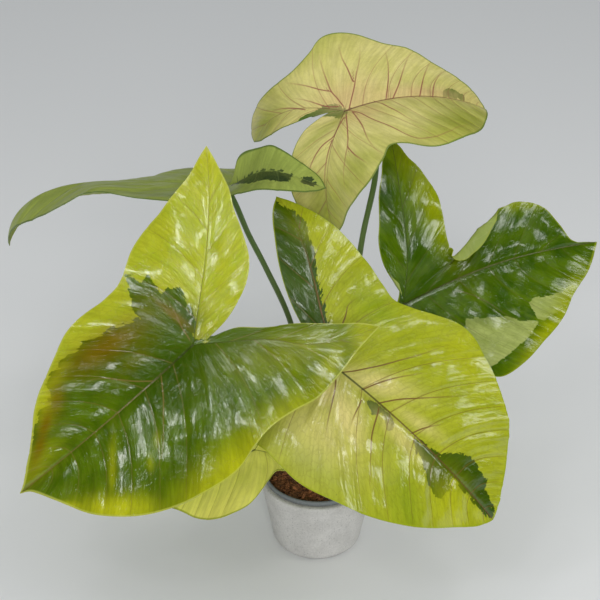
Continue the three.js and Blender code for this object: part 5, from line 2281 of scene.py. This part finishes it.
@dataclass
class Studio:
    """The plain floor, the soft light and the camera."""

    floor_grey: tuple[float, float, float, float] = (0.775, 0.78, 0.775, 1.0)
    world_grey: tuple[float, float, float, float] = (0.9, 0.93, 0.95, 1.0)
    world_strength: float = 0.56
    mirrored_strength: float = 0.014
    camera_place: Spot = (-0.013, -0.784, 0.661)
    camera_tilt: float = 60.0
    lens: float = 78.0
    sensor: float = 36.0
    floor_reach: float = 6000.0
    floor_roughness: float = 0.9
    softboxes: Sequence[Softbox] = (
        Softbox("panel_above", (0.05, -0.45, 1.5), (0, 0, 0.2), 1.4, 1.4),
        Softbox("softbox_above", (-0.4, -0.9, 1.4), (0, 0, 0.2), 0.16, 1.1),
        Softbox("softbox_left", (-1.15, -0.95, 1.4), (0, 0, 0.2), 0.18, 1.7),
        Softbox("softbox_high", (-0.5, -0.4, 1.45), (0, 0, 0.2), 0.2, 0.6),
        Softbox("softbox_low", (1.4, -0.35, 0.95), (0, 0, 0.2), 0.35, 2.2),
        Softbox("softbox_middle", (0.42, -0.3, 1.4), (0, 0, 0.2), 0.2, 0.8),
        Softbox("softbox_right", (1.1, -0.48, 1.1), (0, 0, 0.2), 0.25, 1.05),
        Softbox("fill_front", (0.15, -2.1, 1.15), (0, 0, 0.1), 0.6, 18.5, False),
    )

    def build(self) -> None:
        """Adds the floor, the lights, the world and the camera."""
        scene = bpy.context.scene
        material, _, shader = BodyShaders.start("studio_floor")
        shader.inputs["Base Color"].default_value = self.floor_grey
        shader.inputs["Roughness"].default_value = self.floor_roughness
        parts = MeshParts()
        corners = np.array([[-1, -1, 0], [1, -1, 0], [1, 1, 0], [-1, 1, 0]]) * self.floor_reach
        parts.add(corners, np.array([[0, 1, 2], [0, 2, 3]]))
        parts.make("studio_floor", [material])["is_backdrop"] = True
        for softbox in self.softboxes:
            softbox.build()
        self.light_world(scene)
        camera = bpy.data.cameras.new("studio_camera")
        camera.lens, camera.sensor_width, camera.clip_start, camera.clip_end = self.lens, self.sensor, 0.01, 50.0
        viewer = bpy.data.objects.new("studio_camera", camera)
        viewer.location = self.camera_place
        viewer.rotation_euler = (math.radians(self.camera_tilt), 0, 0)
        scene.collection.objects.link(viewer)
        scene.camera = viewer
        scene.view_settings.view_transform = "Standard"

    def light_world(self, scene: bpy.types.Scene) -> None:
        """Gives the room an even light, which glossy faces mirror only faintly.

        Args:
            scene: The scene that gets it.
        """
        world = bpy.data.worlds.new("studio_world")
        world.use_nodes = True
        board = Board(world.node_tree)
        background = world.node_tree.nodes["Background"]
        background.inputs[0].default_value = self.world_grey
        glossy = board.place("ShaderNodeLightPath").outputs["Is Glossy Ray"]
        board.wire(board.ease(glossy, 0.0, 1.0, self.world_strength, self.mirrored_strength), background.inputs[1])
        scene.world = world


# ---------- the whole plant ----------


def main() -> None:
    """Builds the pots, the soil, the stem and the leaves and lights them."""
    logging.basicConfig(level=logging.INFO, format="%(name)s: %(message)s")
    bodies, shaders = BodyShaders(), LeafShaders()
    ceramic = bodies.mineral("ceramic", MineralFinish(
        ground=(192, 190, 186), second=(204, 202, 198), speck=(150, 148, 146), roughness=0.8))
    # The plastic is painted a mid grey, lighter than the pot's own dark anthracite: partly its colour and partly a
    # painted sheen along the lip.
    plastic = bodies.plastic("dark_plastic", PlasticFinish(
        colour=(116, 121, 122), scuff=(172, 178, 180), roughness=0.22))
    stalk = bodies.stalk("stalk", StalkFinish(low=(80, 92, 34), high=(88, 116, 58), streak=(112, 124, 84)))
    soil = bodies.soil("potting_mix", SoilFinish(dark=(78, 46, 26), brown=(146, 98, 60), rust=(186, 122, 80)))
    assemblies = [Cachepot(ceramic), NurseryPot(plastic), PottingMix(soil), Stem(stalk)]
    assemblies += [Leaf(shape, shaders, stalk) for shape in LEAVES]
    for assembly in assemblies:
        for piece in assembly.build():
            LOG.info("%s: %d faces", piece.name, len(piece.data.polygons))
    Studio().build()
    {"cad": [list(corner) for corner in CAD_BOX], "visual": [list(corner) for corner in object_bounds()]}


if __name__ == "__main__":
    main()
